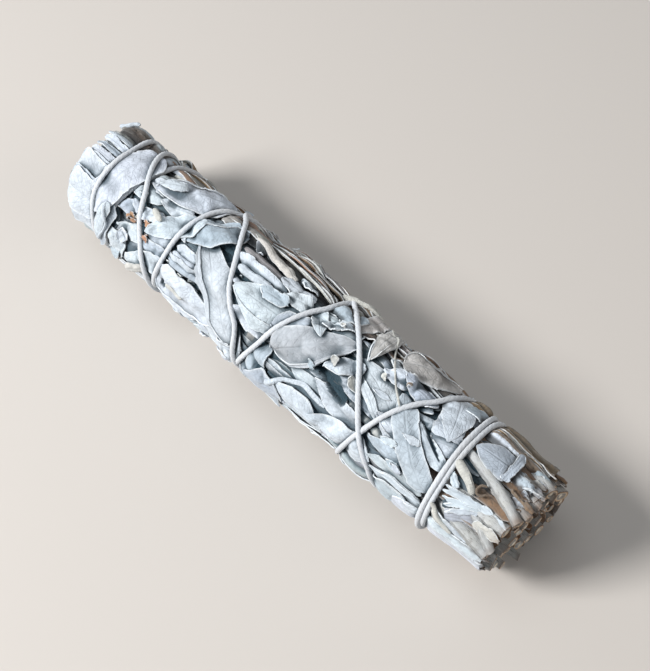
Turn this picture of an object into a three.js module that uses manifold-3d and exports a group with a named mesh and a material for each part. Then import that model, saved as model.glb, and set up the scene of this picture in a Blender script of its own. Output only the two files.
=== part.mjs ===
// A bunch of dried white sage: leafy stems laid side by side, pressed into a roll and bound with
// one cotton thread.
// Millimetres, +Z up. +X runs along the roll to its cut stems, and the roll lies on z = 0.
// A place on the roll is x along it, turn round it in degrees from the top towards -Y, and r from
// its axis.
import * as THREE from "three";
import { mergeVertices } from "three/addons/utils/BufferGeometryUtils.js";
import Module from "manifold-3d";

const wasm = await Module();
wasm.setup();

// ---- Driving dimensions ----
const LENGTH = 184; // leaf tips to cut stems
const RADIUS = 18.5; // over the leaves at the middle; a degree of turn is measured on this radius
const LEAF = 0.6; // thickness of a leaf
const GAP = 0.3; // between neighbouring pieces
const THREAD = 1.8; // diameter of the thread
const LAYERS = 6.5; // depth of the outer leaves and the thread, over the pressed inner leaves
const MOST_LAYERS = 5; // leaves below another leaf, at most
const BINDING = 64; // x of the thread's band round the stems
const DIVE = 48; // x where a stem is as deep as it goes
const HEART = 7.6; // radius of the inner sprigs
const OUTER = 12; // sprigs in the outer ring
const INNER = 5; // sprigs in the heart
const STEM_RING = 13.4; // radius on which the outer stems leave the roll
const STEM_DEEP = 10.1; // and inside it
const SEED = 41;

const DEG = Math.PI / 180;
const ARC = RADIUS * DEG; // mm for each degree of turn
const END = LENGTH / 2;

const colours = {
  leaf: [0.72, 0.76, 0.78],
  stem: [0.8, 0.78, 0.7],
  thread: [0.9, 0.89, 0.86],
};

// Whole numbers below 2^31 keep this draw the same in every language.
let seed = SEED;
function draw(low, high) {
  seed = (seed * 48271) % 2147483647;
  return low + (high - low) * (seed / 2147483647);
}

function at(x, turn, r) {
  return new THREE.Vector3(x, -r * Math.sin(turn * DEG), r * Math.cos(turn * DEG));
}

function placeOf(p) {
  return { x: p.x, turn: Math.atan2(-p.y, p.z) / DEG, r: Math.hypot(p.y, p.z) };
}

// ---- Solids ----
function solidOfGeometry(geometry) {
  const g = geometry.clone();
  g.deleteAttribute("normal");
  g.deleteAttribute("uv");
  const merged = mergeVertices(g, 1e-4);
  const triVerts = new Uint32Array(merged.index.array);
  const vertProperties = merged.attributes.position.array;
  return new wasm.Manifold(new wasm.Mesh({ numProp: 3, vertProperties, triVerts }));
}

// A closed body from its corners and triangles, turned to face outwards.
function solidOf(points, faces) {
  const corners = new THREE.BufferGeometry().setFromPoints(points);
  const facing = (list) => solidOfGeometry(corners.clone().setIndex(list.flat()));
  const made = facing(faces);
  return made.volume() < 0 ? facing(faces.map(([a, b, c]) => [a, c, b])) : made;
}

function geometryOf(solid) {
  const m = solid.getMesh();
  const g = new THREE.BufferGeometry();
  g.setAttribute("position", new THREE.BufferAttribute(m.vertProperties, 3));
  g.setIndex(new THREE.BufferAttribute(m.triVerts, 1));
  g.computeVertexNormals();
  return g;
}

function largestBody(solid) {
  return solid.decompose().sort((a, b) => b.volume() - a.volume())[0];
}

// Rings of points with as many corners each, joined into a closed body.
function loft(rings) {
  const n = rings[0].length;
  const faces = [];
  for (let i = 0; i + 1 < rings.length; i++)
    for (let j = 0; j < n; j++) {
      const [a, b] = [i * n + j, i * n + ((j + 1) % n)];
      faces.push([a, b, b + n], [a, b + n, a + n]);
    }
  const last = (rings.length - 1) * n;
  for (let j = 1; j + 1 < n; j++) faces.push([0, j + 1, j], [last, last + j, last + j + 1]);
  return solidOf(rings.flat(), faces);
}

// ---- How high the roll is so far, and which sprig lies uppermost, on a grid of cells ----
const CELL = 0.6;
const COLUMNS = Math.ceil(LENGTH / CELL) + 20;
const ROWS = Math.round((360 * ARC) / CELL);
const height = new Float32Array(COLUMNS * ROWS);
const layersAt = new Float32Array(COLUMNS * ROWS);
const BARE = -1; // in uppermost, where no sprig lies on top
const uppermost = new Int16Array(COLUMNS * ROWS).fill(BARE);

function cellOf(x, turn) {
  const column = Math.min(COLUMNS - 1, Math.max(0, Math.round((x + END) / CELL) + 10));
  const row = ((Math.round((turn / 360) * ROWS) % ROWS) + ROWS) % ROWS;
  return column * ROWS + row;
}

// A sample also raises the cells just round it, which the edge of what it lies on may reach.
const REACH = [[0, 0], [0.6, 0], [-0.6, 0], [0, 0.6], [0, -0.6]].map(([dx, ds]) => [
  dx * CELL,
  (ds * CELL) / ARC,
]);

function raise(p, sprig) {
  const { x, turn, r } = placeOf(p);
  for (const [dx, dt] of REACH) {
    const cell = cellOf(x + dx, turn + dt);
    if (r <= height[cell]) continue;
    height[cell] = r;
    uppermost[cell] = sprig;
  }
}

function eachSample(corners, step, visit) {
  const [a, b, c] = corners;
  const n = Math.max(2, Math.ceil(Math.max(a.distanceTo(b), b.distanceTo(c), c.distanceTo(a)) / step));
  for (let i = 0; i <= n; i++)
    for (let j = 0; i + j <= n; j++) {
      const w = [i / n, j / n, (n - i - j) / n];
      const p = new THREE.Vector3();
      [a, b, c].forEach((corner, k) => p.addScaledVector(corner, w[k]));
      visit(p, w);
    }
}

// ---- The outer stems: their turn at the cut, at the binding and inside the roll ----
const STEMS = [
  { cut: -32, bound: -43, reach: 89 },
  { cut: -7, bound: -19, reach: 88 },
  { cut: 24, bound: 3, reach: 88.5 },
  { cut: 40, bound: 41, reach: 88 },
  { cut: 70, bound: 67, reach: 87 },
  { cut: 98, bound: 94, reach: 88 },
  { cut: 127, bound: 124, reach: 90 },
  { cut: 155, bound: 154, reach: 87 },
  { cut: 184, bound: 184, reach: 89 },
  { cut: 214, bound: 214, reach: 91 },
  { cut: 246, bound: 245, reach: 88 },
  { cut: 286, bound: 280, reach: 90 },
];
const FIRST_TURN = -38; // of the first outer stem, inside the roll
const SPREAD = 360 / OUTER;

function stemTurn(k, x) {
  const inside = FIRST_TURN + SPREAD * k;
  const { cut, bound, reach } = STEMS[k];
  if (x <= DIVE) return inside;
  if (x <= BINDING) return inside + ((x - DIVE) / (BINDING - DIVE)) * (bound - inside);
  return bound + ((x - BINDING) / (reach - BINDING)) * (cut - bound);
}

// The wall between an outer sprig and the next lies midway between their stems.
function wallTurn(k, x) {
  const next = (k + 1) % OUTER;
  const wrap = k + 1 === OUTER ? 360 : 0;
  return (stemTurn(k, x) + stemTurn(next, x) + wrap) / 2;
}

// ---- The pressed inner leaves ----
const rollRadius = (x) => RADIUS * (1 + 0.014 * (x / 90) - 0.05 * (x / 90) ** 2);
const STATIONS = [-89, -82, -50, -16, 18, DIVE, 56, BINDING, 72, 85]; // x of the inner leaves' rings
const TAPER = { from: -80, depth: 2.6 }; // where the roll narrows to its leaf tips
const SWELL = 0.3; // how uneven the pressed leaves are
const EXPOSED = 11.8; // radius of the inner leaves at the stem end, where the stems show
const SHOWN = 68; // x from which the stems show

function innerRadius(x) {
  if (x > SHOWN) return EXPOSED;
  const past = Math.max(0, (TAPER.from - x) / (TAPER.from - STATIONS[0]));
  return rollRadius(x) - LAYERS - TAPER.depth * past ** 2;
}

// The underside of the outer leaves' layer: 0 lies on the inner leaves, and on the stems where these show.
const ON_STEMS = STEM_RING + 2.3;

function layerRadius(x, layer) {
  const inner = rollRadius(x) - LAYERS + SWELL / 2;
  const share = Math.min(1, Math.max(0, (x - BINDING) / 10));
  return inner + share * Math.max(0, ON_STEMS - inner) + GAP + layer * (LEAF + GAP);
}

function outerSprigRings(k) {
  return STATIONS.map((x, i) => {
    const [low, high] = [wallTurn((k + OUTER - 1) % OUTER, x) - (k === 0 ? 360 : 0), wallTurn(k, x)];
    const inset = (r) => GAP / 2 / (r * DEG);
    const ring = [];
    for (const share of [0, 1 / 3, 2 / 3, 1]) {
      const turn = low + (high - low) * share;
      const r = innerRadius(x) + SWELL * (Math.sin(i * 2.1 + k * 1.7 + share * 5) - 0.5);
      const side = share === 0 ? 1 : share === 1 ? -1 : 0;
      ring.push(at(x, turn + side * inset(r), r));
    }
    for (const share of [1, 0]) {
      const turn = low + (high - low) * share;
      ring.push(at(x, turn + (share ? -1 : 1) * inset(HEART), HEART + 2 * GAP));
    }
    return ring;
  });
}

function innerSprigBody(k) {
  const width = 360 / INNER;
  const rings = [STATIONS[0] - 0.5, 0, STATIONS.at(-1)].map((x) => {
    const ring = [];
    for (const share of [0, 0.33, 0.67, 1]) {
      const turn = (k + share) * width;
      const side = share === 0 ? 1 : share === 1 ? -1 : 0;
      ring.push(at(x, turn + side * (GAP / 2 / (HEART * DEG)), HEART - (side ? GAP : 0)));
    }
    ring.push(at(x, (k + 0.5) * width, 4 * GAP));
    return ring;
  });
  return loft(rings);
}

// ---- Stems ----
function tube(points, radii, sides) {
  const curve = new THREE.CatmullRomCurve3(points);
  const rings = points.map((p, i) => {
    const tangent = curve.getTangent(i / (points.length - 1));
    const side = new THREE.Vector3(0, 1, 0).cross(tangent).normalize();
    const up = new THREE.Vector3().crossVectors(tangent, side);
    const ring = [];
    for (let j = 0; j < sides; j++) {
      const angle = (2 * Math.PI * (j + 0.5)) / sides;
      const corner = p.clone().addScaledVector(side, radii[i] * Math.cos(angle));
      ring.push(corner.addScaledVector(up, radii[i] * Math.sin(angle)));
    }
    return ring;
  });
  return loft(rings);
}

const STEM_SIDES = 7;
const stemRadius = (k) => 1.75 + 0.3 * Math.sin(k * 2.4);
const OPEN_END = 3; // a hole runs this far past its stem's cut end

// A margin over 0 gives the hole that the stem lies in.
function outerStem(k, margin) {
  const { reach } = STEMS[k];
  const end = margin ? reach + OPEN_END : reach;
  const course = [
    [end, STEM_RING, 1], [76, STEM_RING, 1.02], [BINDING, STEM_DEEP, 1], [DIVE, STEM_DEEP, 0.95],
    [10, STEM_DEEP, 0.8], [-28, STEM_DEEP, 0.6],
  ];
  return tube(
    course.map(([x, r]) => at(x, stemTurn(k, Math.min(x, reach)), r)),
    course.map(([, , size]) => stemRadius(k) * size + margin),
    STEM_SIDES,
  );
}

function innerStem(k, margin) {
  const turn = (k + 0.5) * (360 / INNER);
  const size = 1.8 + 0.25 * Math.sin(k * 1.9);
  const end = 87 + 1.5 * Math.sin(k * 2.7) + (margin ? OPEN_END : 0);
  const r = 0.6 * HEART;
  const course = [at(end, turn, r), at(30, turn, r), at(-30, turn, r)];
  return tube(course, [size + margin, size + margin, size * 0.7 + margin], STEM_SIDES);
}

// ---- Leaves ----
// A leaf's half width, as a share of its greatest, from its stalk at 0 to its tip at 1.
const halfWidth = (u) => Math.sin(Math.PI * u ** 0.8) ** 0.75;

function leafPlan([x0, turn0, x1, turn1, width], bow) {
  const [dx, ds] = [x1 - x0, (turn1 - turn0) * ARC];
  const length = Math.hypot(dx, ds);
  const across = { x: -ds / length, s: dx / length };
  const stations = Math.max(3, Math.round(length / 9), Math.ceil(Math.abs(ds) / 5.5) - 1);
  const plan = [{ x: x0, turn: turn0, u: 0 }];
  for (let i = 1; i <= stations; i++) {
    const u = i / (stations + 1);
    const middle = bow * length * Math.sin(Math.PI * u);
    for (const side of [-1, 0, 1]) {
      const v = middle + side * 0.5 * width * halfWidth(u);
      plan.push({ x: x0 + dx * u + across.x * v, turn: turn0 + (ds * u + across.s * v) / ARC, u });
    }
  }
  plan.push({ x: x1, turn: turn1, u: 1 });
  return plan;
}

// Faces of one side of a leaf: a fan at the stalk, strips between stations, and a fan at the tip.
// Each strip is split on the diagonal that turns least round the roll, which keeps it close to its layer.
function leafFaces(plan) {
  const faces = [[0, 1, 2], [0, 2, 3]];
  const rise = (a, b) => Math.abs(plan[a].turn - plan[b].turn);
  const last = plan.length - 4;
  for (let i = 1; i < last; i += 3)
    for (const a of [i, i + 1]) {
      if (rise(a, a + 4) < rise(a + 1, a + 3)) faces.push([a, a + 3, a + 4], [a, a + 4, a + 1]);
      else faces.push([a, a + 3, a + 1], [a + 1, a + 3, a + 4]);
    }
  faces.push([last, last + 3, last + 1], [last + 1, last + 3, last + 2]);
  return faces;
}

function rimOf(count) {
  const left = [];
  const right = [];
  for (let i = 1; i < count - 1; i += 3) {
    left.push(i);
    right.push(i + 2);
  }
  return [0, ...left, count - 1, ...right.reverse()];
}

const STALK = 1.5; // across a leaf's stalk

// The sprig that lies alone under a stalk at a place, or BARE.
function soleSprigAt({ x, turn }) {
  const found = uppermost[cellOf(x, turn)];
  const clear = STALK * 0.75 + GAP;
  for (let angle = 0; angle < 360; angle += 45) {
    const around = cellOf(x + clear * Math.cos(angle * DEG), turn + (clear * Math.sin(angle * DEG)) / ARC);
    if (uppermost[around] !== found) return BARE;
  }
  return found;
}

// Where a leaf's stalk meets its sprig: the first place under the leaf, from its base on, with one
// sprig below.
function footOf([x0, turn0, x1, turn1, width]) {
  const [dx, ds] = [x1 - x0, (turn1 - turn0) * ARC];
  const length = Math.hypot(dx, ds);
  for (let u = 0.12; u < 0.9; u += 0.03)
    for (const side of [0, -0.12, 0.12, -0.24, 0.24]) {
      const v = side * width * halfWidth(u);
      const turn = turn0 + (ds * u + (dx / length) * v) / ARC;
      const place = { x: x0 + dx * u - (ds / length) * v, turn, u };
      if (soleSprigAt(place) !== BARE) return place;
    }
  return null;
}

// Lifts a leaf's corners until its faces clear all that lies below them.
function drape(plan, faces) {
  const rs = plan.map(({ x, turn }) => height[cellOf(x, turn)] + GAP);
  for (let round = 0; round < 16; round++) {
    const lift = rs.map(() => 0);
    for (const face of faces) {
      const corners = face.map((v) => at(plan[v].x, plan[v].turn, rs[v]));
      eachSample(corners, 0.8, (p, w) => {
        const { x, turn, r } = placeOf(p);
        const need = height[cellOf(x, turn)] + GAP - r;
        if (need <= 0) return;
        const even = w[0] ** 2 + w[1] ** 2 + w[2] ** 2;
        face.forEach((v, i) => (lift[v] = Math.max(lift[v], round < 12 ? (need * w[i]) / even : need)));
      });
    }
    lift.forEach((by, v) => (rs[v] += by));
    if (Math.max(...lift) < 0.01) break;
  }
  return rs;
}

// Visits the places that a leaf covers, with how far along the leaf each is.
function eachPlace(plan, faces, visit) {
  for (const face of faces) {
    const corners = face.map((v) => new THREE.Vector3(plan[v].x, plan[v].turn * ARC, plan[v].u));
    eachSample(corners, CELL * 0.8, (p) => visit(p.x, p.y / ARC, p.z));
  }
}

// How many leaves deep a leaf's base and tip lie, as low as what it covers lets them.
function depthsOf(plan, faces) {
  const below = [];
  eachPlace(plan, faces, (x, turn, u) => {
    const deep = Math.max(...REACH.map(([dx, dt]) => layersAt[cellOf(x + dx, turn + dt)]));
    if (deep > 0) below.push([u, deep]);
  });
  let best = null;
  for (let base = 0; base <= MOST_LAYERS; base += 0.2) {
    let tip = 0;
    for (const [u, deep] of below) tip = Math.max(tip, (deep - base * (1 - u)) / Math.max(u, 0.02));
    const cost = base + tip + 2 * Math.max(base, tip);
    if (!best || cost < best.cost) best = { base, tip, cost };
  }
  return best;
}

// A leaf's blade between the radii of its two sides.
function bladeOf(plan, faces, under, over) {
  const n = plan.length;
  const points = [under, over].flatMap((radii) => plan.map(({ x, turn }, v) => at(x, turn, radii[v])));
  const all = faces.flatMap(([a, b, c]) => [[a, b, c], [a + n, c + n, b + n]]);
  const rim = rimOf(n);
  rim.forEach((a, i) => {
    const b = rim[(i + 1) % rim.length];
    all.push([a, b + n, b], [a, a + n, b + n]);
  });
  return solidOf(points, all);
}

// A leaf's stalk goes straight down from its blade into the sprig that it grows from.
function stalkOf(foot, top) {
  const deep = top - height[cellOf(foot.x, foot.turn)] + LEAF;
  const stalk = new THREE.CylinderGeometry(STALK / 2, STALK / 2, deep, 3).rotateX(Math.PI / 2);
  stalk.translate(0, 0, top - deep / 2);
  stalk.applyMatrix4(new THREE.Matrix4().makeRotationX(foot.turn * DEG)).translate(foot.x, 0, 0);
  return solidOfGeometry(stalk);
}

const foliage = Array.from({ length: OUTER }, () => []);

// Lays one leaf on the roll: [x and turn of its base, x and turn of its tip, width], bent sideways by bow.
// A draped leaf follows all that lies below it, and a resting one bulges to a plane that far below
// the axis.
function layLeaf(row, bow = 0, { draped = false, rest = 0 } = {}) {
  const plan = leafPlan(row, bow);
  const foot = footOf(row);
  const faces = leafFaces(plan);
  const { base, tip } = depthsOf(plan, faces);
  if (!foot || (Math.max(base, tip) > MOST_LAYERS && !draped)) return;
  const sprig = soleSprigAt(foot);
  const depthAt = (u) => base + (tip - base) * u;
  let under = draped ? drape(plan, faces) : plan.map(({ x, u }) => layerRadius(x, depthAt(u)));
  let over = under.map((r) => r + LEAF);
  if (rest) {
    over = plan.map(({ turn }) => -rest / Math.cos(turn * DEG));
    under = under.map((r, v) => Math.max(r, over[v] - 2 * LEAF));
  }
  const top = (draped ? Math.min(...under) : layerRadius(foot.x, depthAt(foot.u))) + LEAF / 2;
  foliage[sprig].push(bladeOf(plan, faces, under, over), stalkOf(foot, top));
  for (const face of faces) {
    const corners = face.map((v) => at(plan[v].x, plan[v].turn, over[v]));
    eachSample(corners, CELL * 0.6, (p) => raise(p, sprig));
  }
  eachPlace(plan, faces, (x, turn, u) => {
    const cell = cellOf(x, turn);
    layersAt[cell] = Math.max(layersAt[cell], depthAt(u) + 1);
  });
}

// Leaves on the near side and on top: [x and turn of the stalk, x and turn of the tip, width].
const LAID_LEAVES = [
  // the tips' end
  [-66, -42, -90, -38, 8], [-68, -24, -91, -22, 7], [-68, -9, -91, -8, 5.5],
  [-68, 2, -91.5, 1, 5.5], [-64, 44, -91, 40, 17], [-64, 74, -88, 70, 13], [-64, 98, -87, 94, 13],
  // behind the first crossing
  [-48, -42, -66, -36, 8], [-45, -24, -60, -22, 9], [-45, 16, -59, 20, 8], [-44, 36, -58, 38, 8],
  [-46, 52, -58, 57, 6], [-44, 82, -62, 94, 11], [-50, 70, -67, 80, 9], [-46, -6, -60, 4, 10],
  [-57, 24, -68, 12, 7], [-56, -15, -65.5, 2, 8], [-57, 36, -69, 62, 6.5],
  // between the first and second crossings
  [-30, -38, -46, -30, 8], [-14, -60, -42, -58, 10], [-47, 2, -31, -22, 10], [-45, 26, -34, 20, 6],
  [-46, 62, -33, 57, 7], [-42, 78, -19.5, 72, 15], [-8, 82, -24, 86, 13], [-4, -46, -36, -46, 9],
  [-10, -20, -28, -17, 6], [-12, -5, -26, -3, 6.5], [-13, 11, -25, 11, 5], [4, 50, -17, 47, 9],
  [1, 20, -19, 30, 14], [-30, -10, -25.5, 13, 5.5], [-38, 8, -11, 68, 10.5],
  [-3, -15, -12, -12, 6], [-1, -6, -14, -3, 7],
  // the middle
  [12, -60, -6, -56, 10], [10, 72, -6, 80, 12], [12, 88, -5, 98, 11], [30, -42, 10, -38, 9],
  [27, -24, 12, -28, 8], [22, -14, 8, -8, 8], [-3, 42, 20, 3, 12.5], [0, 16, 14, 2, 7.5],
  [40, 84, 16, 84, 13], [38, 66, 13, 63, 7], [37, 50, 12, 47, 8.5], [24, 4, 20.5, 36, 9],
  [26, -44, 27, 3, 6],
  // before the binding
  [44, -46, 28, -48, 10], [50, -28, 36, -30, 9], [48, -14, 36, -12, 8], [43, 30, 24, 10, 12.5],
  [58, 40, 41, 38, 8], [57, 62, 40, 62, 6], [57, 51, 39, 50, 6], [62, 84, 42, 80, 13],
  [60, 98, 44, 98, 12], [60, -64, 44, -60, 10], [63, -48, 58.5, -16, 8], [62, -34, 57.5, 14, 10],
  [58, 8, 46, 0, 6], [45, 2, 61, 70, 10.5],
  // among the stems
  [61, 84, 84, 80, 9], [61, -26, 82, -34, 6], [62, -6, 78, -4, 7], [61, 22, 76, 33, 4.5],
  [61, 42, 84, 38, 6],
];

// The far side and the underside follow one rule: rows from the tips to the binding, each leaf over
// the row before.
const HIDDEN = { from: 118, to: 296, apart: 34 };
const ROW = { first: -64, last: 62, apart: 17 };

function ruleLeaf(x, turn) {
  const length = draw(25, 33);
  const slant = draw(-32, 32) * DEG;
  const start = { x: x + draw(-4, 4), turn: turn + draw(-7, 7) };
  const tip = {
    x: start.x - length * Math.cos(slant),
    turn: start.turn + (length * Math.sin(slant)) / ARC,
  };
  return [start.x, start.turn, Math.max(tip.x, 1 - END), tip.turn, draw(9, 12)];
}

function layHiddenLeaves() {
  const { from, to, apart } = HIDDEN;
  for (let x = ROW.first, shift = 0; x <= ROW.last; x += ROW.apart, shift = 14 - shift)
    for (let turn = from + shift; turn <= to; turn += apart) layLeaf(ruleLeaf(x, turn), draw(-0.06, 0.06));
  for (let turn = 112; turn < 320; turn += 29)
    layLeaf([60, turn, 60 + draw(14, 22), turn + draw(-14, 14), draw(5, 8)]);
}

// Two leaves that lie over the thread's way out and under its way back.
const LATE_LEAVES = [[-70, -14, -75.5, 60, 10], [-69, 44, -72.5, 106, 7]];

// The leaves that the roll rests on, between the turns of thread.
const RESTING_LEAVES = [
  [-58, 181, -73, 178, 12], [-22, 176, -42, 184, 12], [23, 184, 1, 178, 13], [50, 180, 27, 182, 12],
];

// ---- The thread ----
// Its route: x against the whole turn since the start. It starts at the binding, winds out to the
// tips and comes back.
const WAY_OUT = [
  [64.6, 262], [63.4, 315], [64.3, 360], [65.4, 405], [65.3, 450], [62, 500], [57, 560], [54, 620],
  [51.3, 675], [48.7, 705], [46, 720], [41.3, 750], [37.5, 780], [34, 810], [24, 900], [15, 970],
  [7.3, 1035], [5.7, 1065], [3.8, 1080], [0.2, 1110], [-3.5, 1140], [-7.5, 1170], [-20, 1260],
  [-31, 1330], [-39.5, 1395], [-43, 1425], [-44.3, 1470], [-45.5, 1510], [-47.5, 1540],
  [-54, 1620], [-61, 1690], [-65.5, 1755], [-66.3, 1800], [-68.5, 1842], [-70, 1890], [-74, 1960],
];
const WAY_BACK = [
  [-74, 1960], [-78, 2040], [-79.6, 2115], [-77.8, 2160], [-77.2, 2205], [-75.8, 2250],
  [-76.5, 2340], [-75.5, 2420], [-73, 2475], [-70, 2500], [-66.3, 2520], [-62, 2538],
  [-57.5, 2562], [-53.5, 2585], [-49.5, 2610], [-46, 2700], [-42, 2780], [-38.5, 2830],
  [-33.5, 2850], [-26.8, 2880], [-21, 2910], [-16.8, 2925], [-12.3, 2940], [-10, 2970], [-4, 3060],
  [2, 3140], [7, 3190], [13, 3210], [23, 3240], [31.5, 3270], [38.5, 3300], [44.7, 3330],
  [52, 3420], [59, 3500], [61.3, 3555], [62.8, 3600], [64.2, 3645], [63.8, 3690], [62.4, 3760],
  [62.2, 3820], [63, 3858],
];
const STEP = 16; // degrees of turn between the thread's rings
const THREAD_SIDES = 6;
const KNOT = 4.4; // across the knot

// x at a turn of the route, on a smooth curve through its points.
function routeAt(route, turn) {
  const i = Math.min(route.length - 2, Math.max(0, route.findIndex(([, t]) => t >= turn) - 1));
  const point = (n) => route[Math.min(route.length - 1, Math.max(0, n))];
  const [[x0, t0], [x1, t1], [x2, t2], [x3, t3]] = [-1, 0, 1, 2].map((j) => point(i + j));
  const u = (turn - t1) / (t2 - t1);
  const leaving = ((x2 - x0) / (t2 - t0)) * (t2 - t1);
  const arriving = ((x3 - x1) / (t3 - t1)) * (t2 - t1);
  const rise = x2 - x1;
  const curve = [leaving + arriving - 2 * rise, 3 * rise - 2 * leaving - arriving, leaving, x1];
  return curve.reduce((sum, part) => sum * u + part, 0);
}

// The lowest that the thread's middle can lie at a place, over all that its width touches.
function threadFloor(x, turn) {
  const clear = THREAD / 2 + 1.5 * GAP;
  let floor = 0;
  for (let along = -4; along <= 4; along++)
    for (let round = -4; round <= 4; round++) {
      const [dx, ds] = [(along / 4) * clear, (round / 4) * clear];
      const off = Math.hypot(dx, ds);
      if (off > clear) continue;
      const rise = Math.sqrt(clear ** 2 - off ** 2);
      floor = Math.max(floor, height[cellOf(x + dx, turn + ds / ARC)] + rise);
    }
  return floor;
}

// Lays the thread along a route: each ring clears what lies below it, halfway to its neighbours too.
function pullTight(route) {
  const [from, to] = [route[0][1], route.at(-1)[1]];
  const count = Math.round((to - from) / STEP);
  const path = Array.from({ length: count + 1 }, (_, i) => {
    const turn = from + ((to - from) * i) / count;
    return { x: routeAt(route, turn), turn, r: 0 };
  });
  const settle = (p, i) => {
    for (const q of [path[Math.max(i - 1, 0)], path[Math.min(i + 1, count)]])
      for (const share of [0, 0.25, 0.5])
        p.r = Math.max(p.r, threadFloor(p.x + share * (q.x - p.x), p.turn + share * (q.turn - p.turn)));
  };
  const cover = (i) => {
    const [p, q] = [path[i], path[i + 1]];
    for (let u = 0; u < 1; u += 1 / 12) {
      const r = p.r + u * (q.r - p.r);
      for (let off = -THREAD / 2; off <= THREAD / 2; off += THREAD / 6) {
        const top = r + Math.sqrt(Math.max(0, (THREAD / 2) ** 2 - off ** 2));
        raise(at(p.x + u * (q.x - p.x) + off, p.turn + u * (q.turn - p.turn), top), BARE);
      }
    }
  };
  const behind = 3; // rings that lie too close to be crossed
  path.forEach(settle);
  path.forEach((p, i) => {
    settle(p, i);
    for (const q of path.slice(Math.max(0, i - 2), i)) {
      const back = i - path.indexOf(q);
      q.r = Math.max(q.r, p.r * 0.985 - 0.15 * back);
    }
    if (i >= behind) cover(i - behind);
  });
  for (let i = count - behind + 1; i < count; i++) cover(i);
  return path;
}

function threadAlong(points, steps) {
  const section = new THREE.Shape(
    Array.from({ length: THREAD_SIDES }, (_, j) => {
      const angle = (2 * j * Math.PI) / THREAD_SIDES;
      return new THREE.Vector2((THREAD / 2) * Math.cos(angle), (THREAD / 2) * Math.sin(angle));
    }),
  );
  const extrudePath = new THREE.CatmullRomCurve3(points, false, "centripetal");
  return solidOfGeometry(new THREE.ExtrudeGeometry(section, { steps, extrudePath, bevelEnabled: false }));
}

// Both ends meet in a knot on the far side, and their cut tails lie on the leaves beside it.
function knotOf(first, final) {
  const r = Math.max(first.r, final.r) + THREAD / 4;
  const place = { x: (first.x + final.x) / 2, turn: first.turn - 1, r };
  const middle = at(place.x, place.turn, place.r);
  const lump = new THREE.IcosahedronGeometry(KNOT / 2, 1).scale(1.2, 1, 0.8).translate(...middle);
  const tails = [[9, -16], [12, 6]].map(([dx, dt]) => {
    const laid = [0.45, 0.75, 1].map((u) => {
      const [x, turn] = [place.x + dx * u, place.turn + dt * u];
      return at(x, turn, threadFloor(x, turn) + GAP / 3);
    });
    return threadAlong([middle, ...laid], 4);
  });
  return tails.reduce((a, b) => a.add(b), solidOfGeometry(lump));
}

// ---- Building ----
const bodies = [];
for (let k = 0; k < OUTER; k++) {
  const rings = outerSprigRings(k);
  bodies.push(loft(rings));
  for (let i = 0; i + 1 < rings.length; i++)
    for (let j = 0; j < 3; j++) {
      const [a, b, c, d] = [rings[i][j], rings[i][j + 1], rings[i + 1][j], rings[i + 1][j + 1]];
      for (const face of [[a, b, d], [a, d, c]]) eachSample(face, CELL * 0.7, (p) => raise(p, k));
    }
}
// The stems that show stand above the inner leaves, and what is laid later clears them.
for (let k = 0; k < OUTER; k++)
  for (let x = SHOWN; x < STEMS[k].reach; x += CELL * 0.8)
    for (let share = -1; share <= 1; share += 0.25) {
      const off = share * stemRadius(k);
      const r = STEM_RING + Math.sqrt(stemRadius(k) ** 2 - off ** 2) + GAP;
      raise(at(x, stemTurn(k, x) + off / (STEM_RING * DEG), r), BARE);
    }

layHiddenLeaves();
LAID_LEAVES.forEach((row, i) => layLeaf(row, ((i % 5) - 2) * 0.025));
const wayOut = pullTight(WAY_OUT);
for (const row of LATE_LEAVES) layLeaf(row, 0.03, { draped: true });
const wayBack = pullTight(WAY_BACK);
const path = [...wayOut, ...wayBack.slice(1)].map(({ x, turn, r }) => at(x, turn, r));
const thread = threadAlong(path, path.length - 1).add(knotOf(wayOut[0], wayBack.at(-1)));

// The roll lies on its lowest point, and on leaves that bulge as far as that between the turns of thread.
const lowest = (solid) => -solid.boundingBox().min[2];
const rest = Math.max(lowest(thread), ...foliage.flat().map(lowest));
for (const row of RESTING_LEAVES) layLeaf(row, 0, { draped: true, rest });

const group = new THREE.Group();
function add(name, solid, colour) {
  const color = new THREE.Color(...colour);
  const material = new THREE.MeshStandardMaterial({ color, roughness: 0.9, metalness: 0 });
  const mesh = new THREE.Mesh(geometryOf(solid), material);
  mesh.name = name;
  group.add(mesh);
}

const label = (k) => `sprig_${String(k + 1).padStart(2, "0")}`;
for (let k = 0; k < OUTER; k++) {
  const leafy = foliage[k].reduce((a, b) => a.add(b), bodies[k]);
  add(`${label(k)}_leaves`, largestBody(leafy.subtract(outerStem(k, GAP))), colours.leaf);
  add(`${label(k)}_stem`, outerStem(k, 0), colours.stem);
}
for (let k = 0; k < INNER; k++) {
  add(`${label(OUTER + k)}_leaves`, innerSprigBody(k).subtract(innerStem(k, GAP)), colours.leaf);
  add(`${label(OUTER + k)}_stem`, innerStem(k, 0), colours.stem);
}
add("binding_thread", thread, colours.thread);

// The origin is the middle of the surface that the roll lies on.
const middle = new THREE.Box3().setFromObject(group).getCenter(new THREE.Vector3());
group.position.set(-middle.x, -middle.y, rest);

export default group;
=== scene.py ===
# %% [markdown]
# # A bunch of dried white sage
# Leafy stems of white sage are laid side by side while they are fresh, pressed into a roll, bound with one
# cotton thread from the stems to the tips and back, and hung up to dry. The leaves shrink, fold and curl as
# they dry, and the thread sinks into them. The CAD model gives the roll, its seventeen sprigs, their stems
# and the thread's route. It is loaded first, and nothing below changes its size or place.

# %% Load the CAD model as the frame
import math

import bpy
import numpy as np
from mathutils import Matrix, Vector


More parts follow.
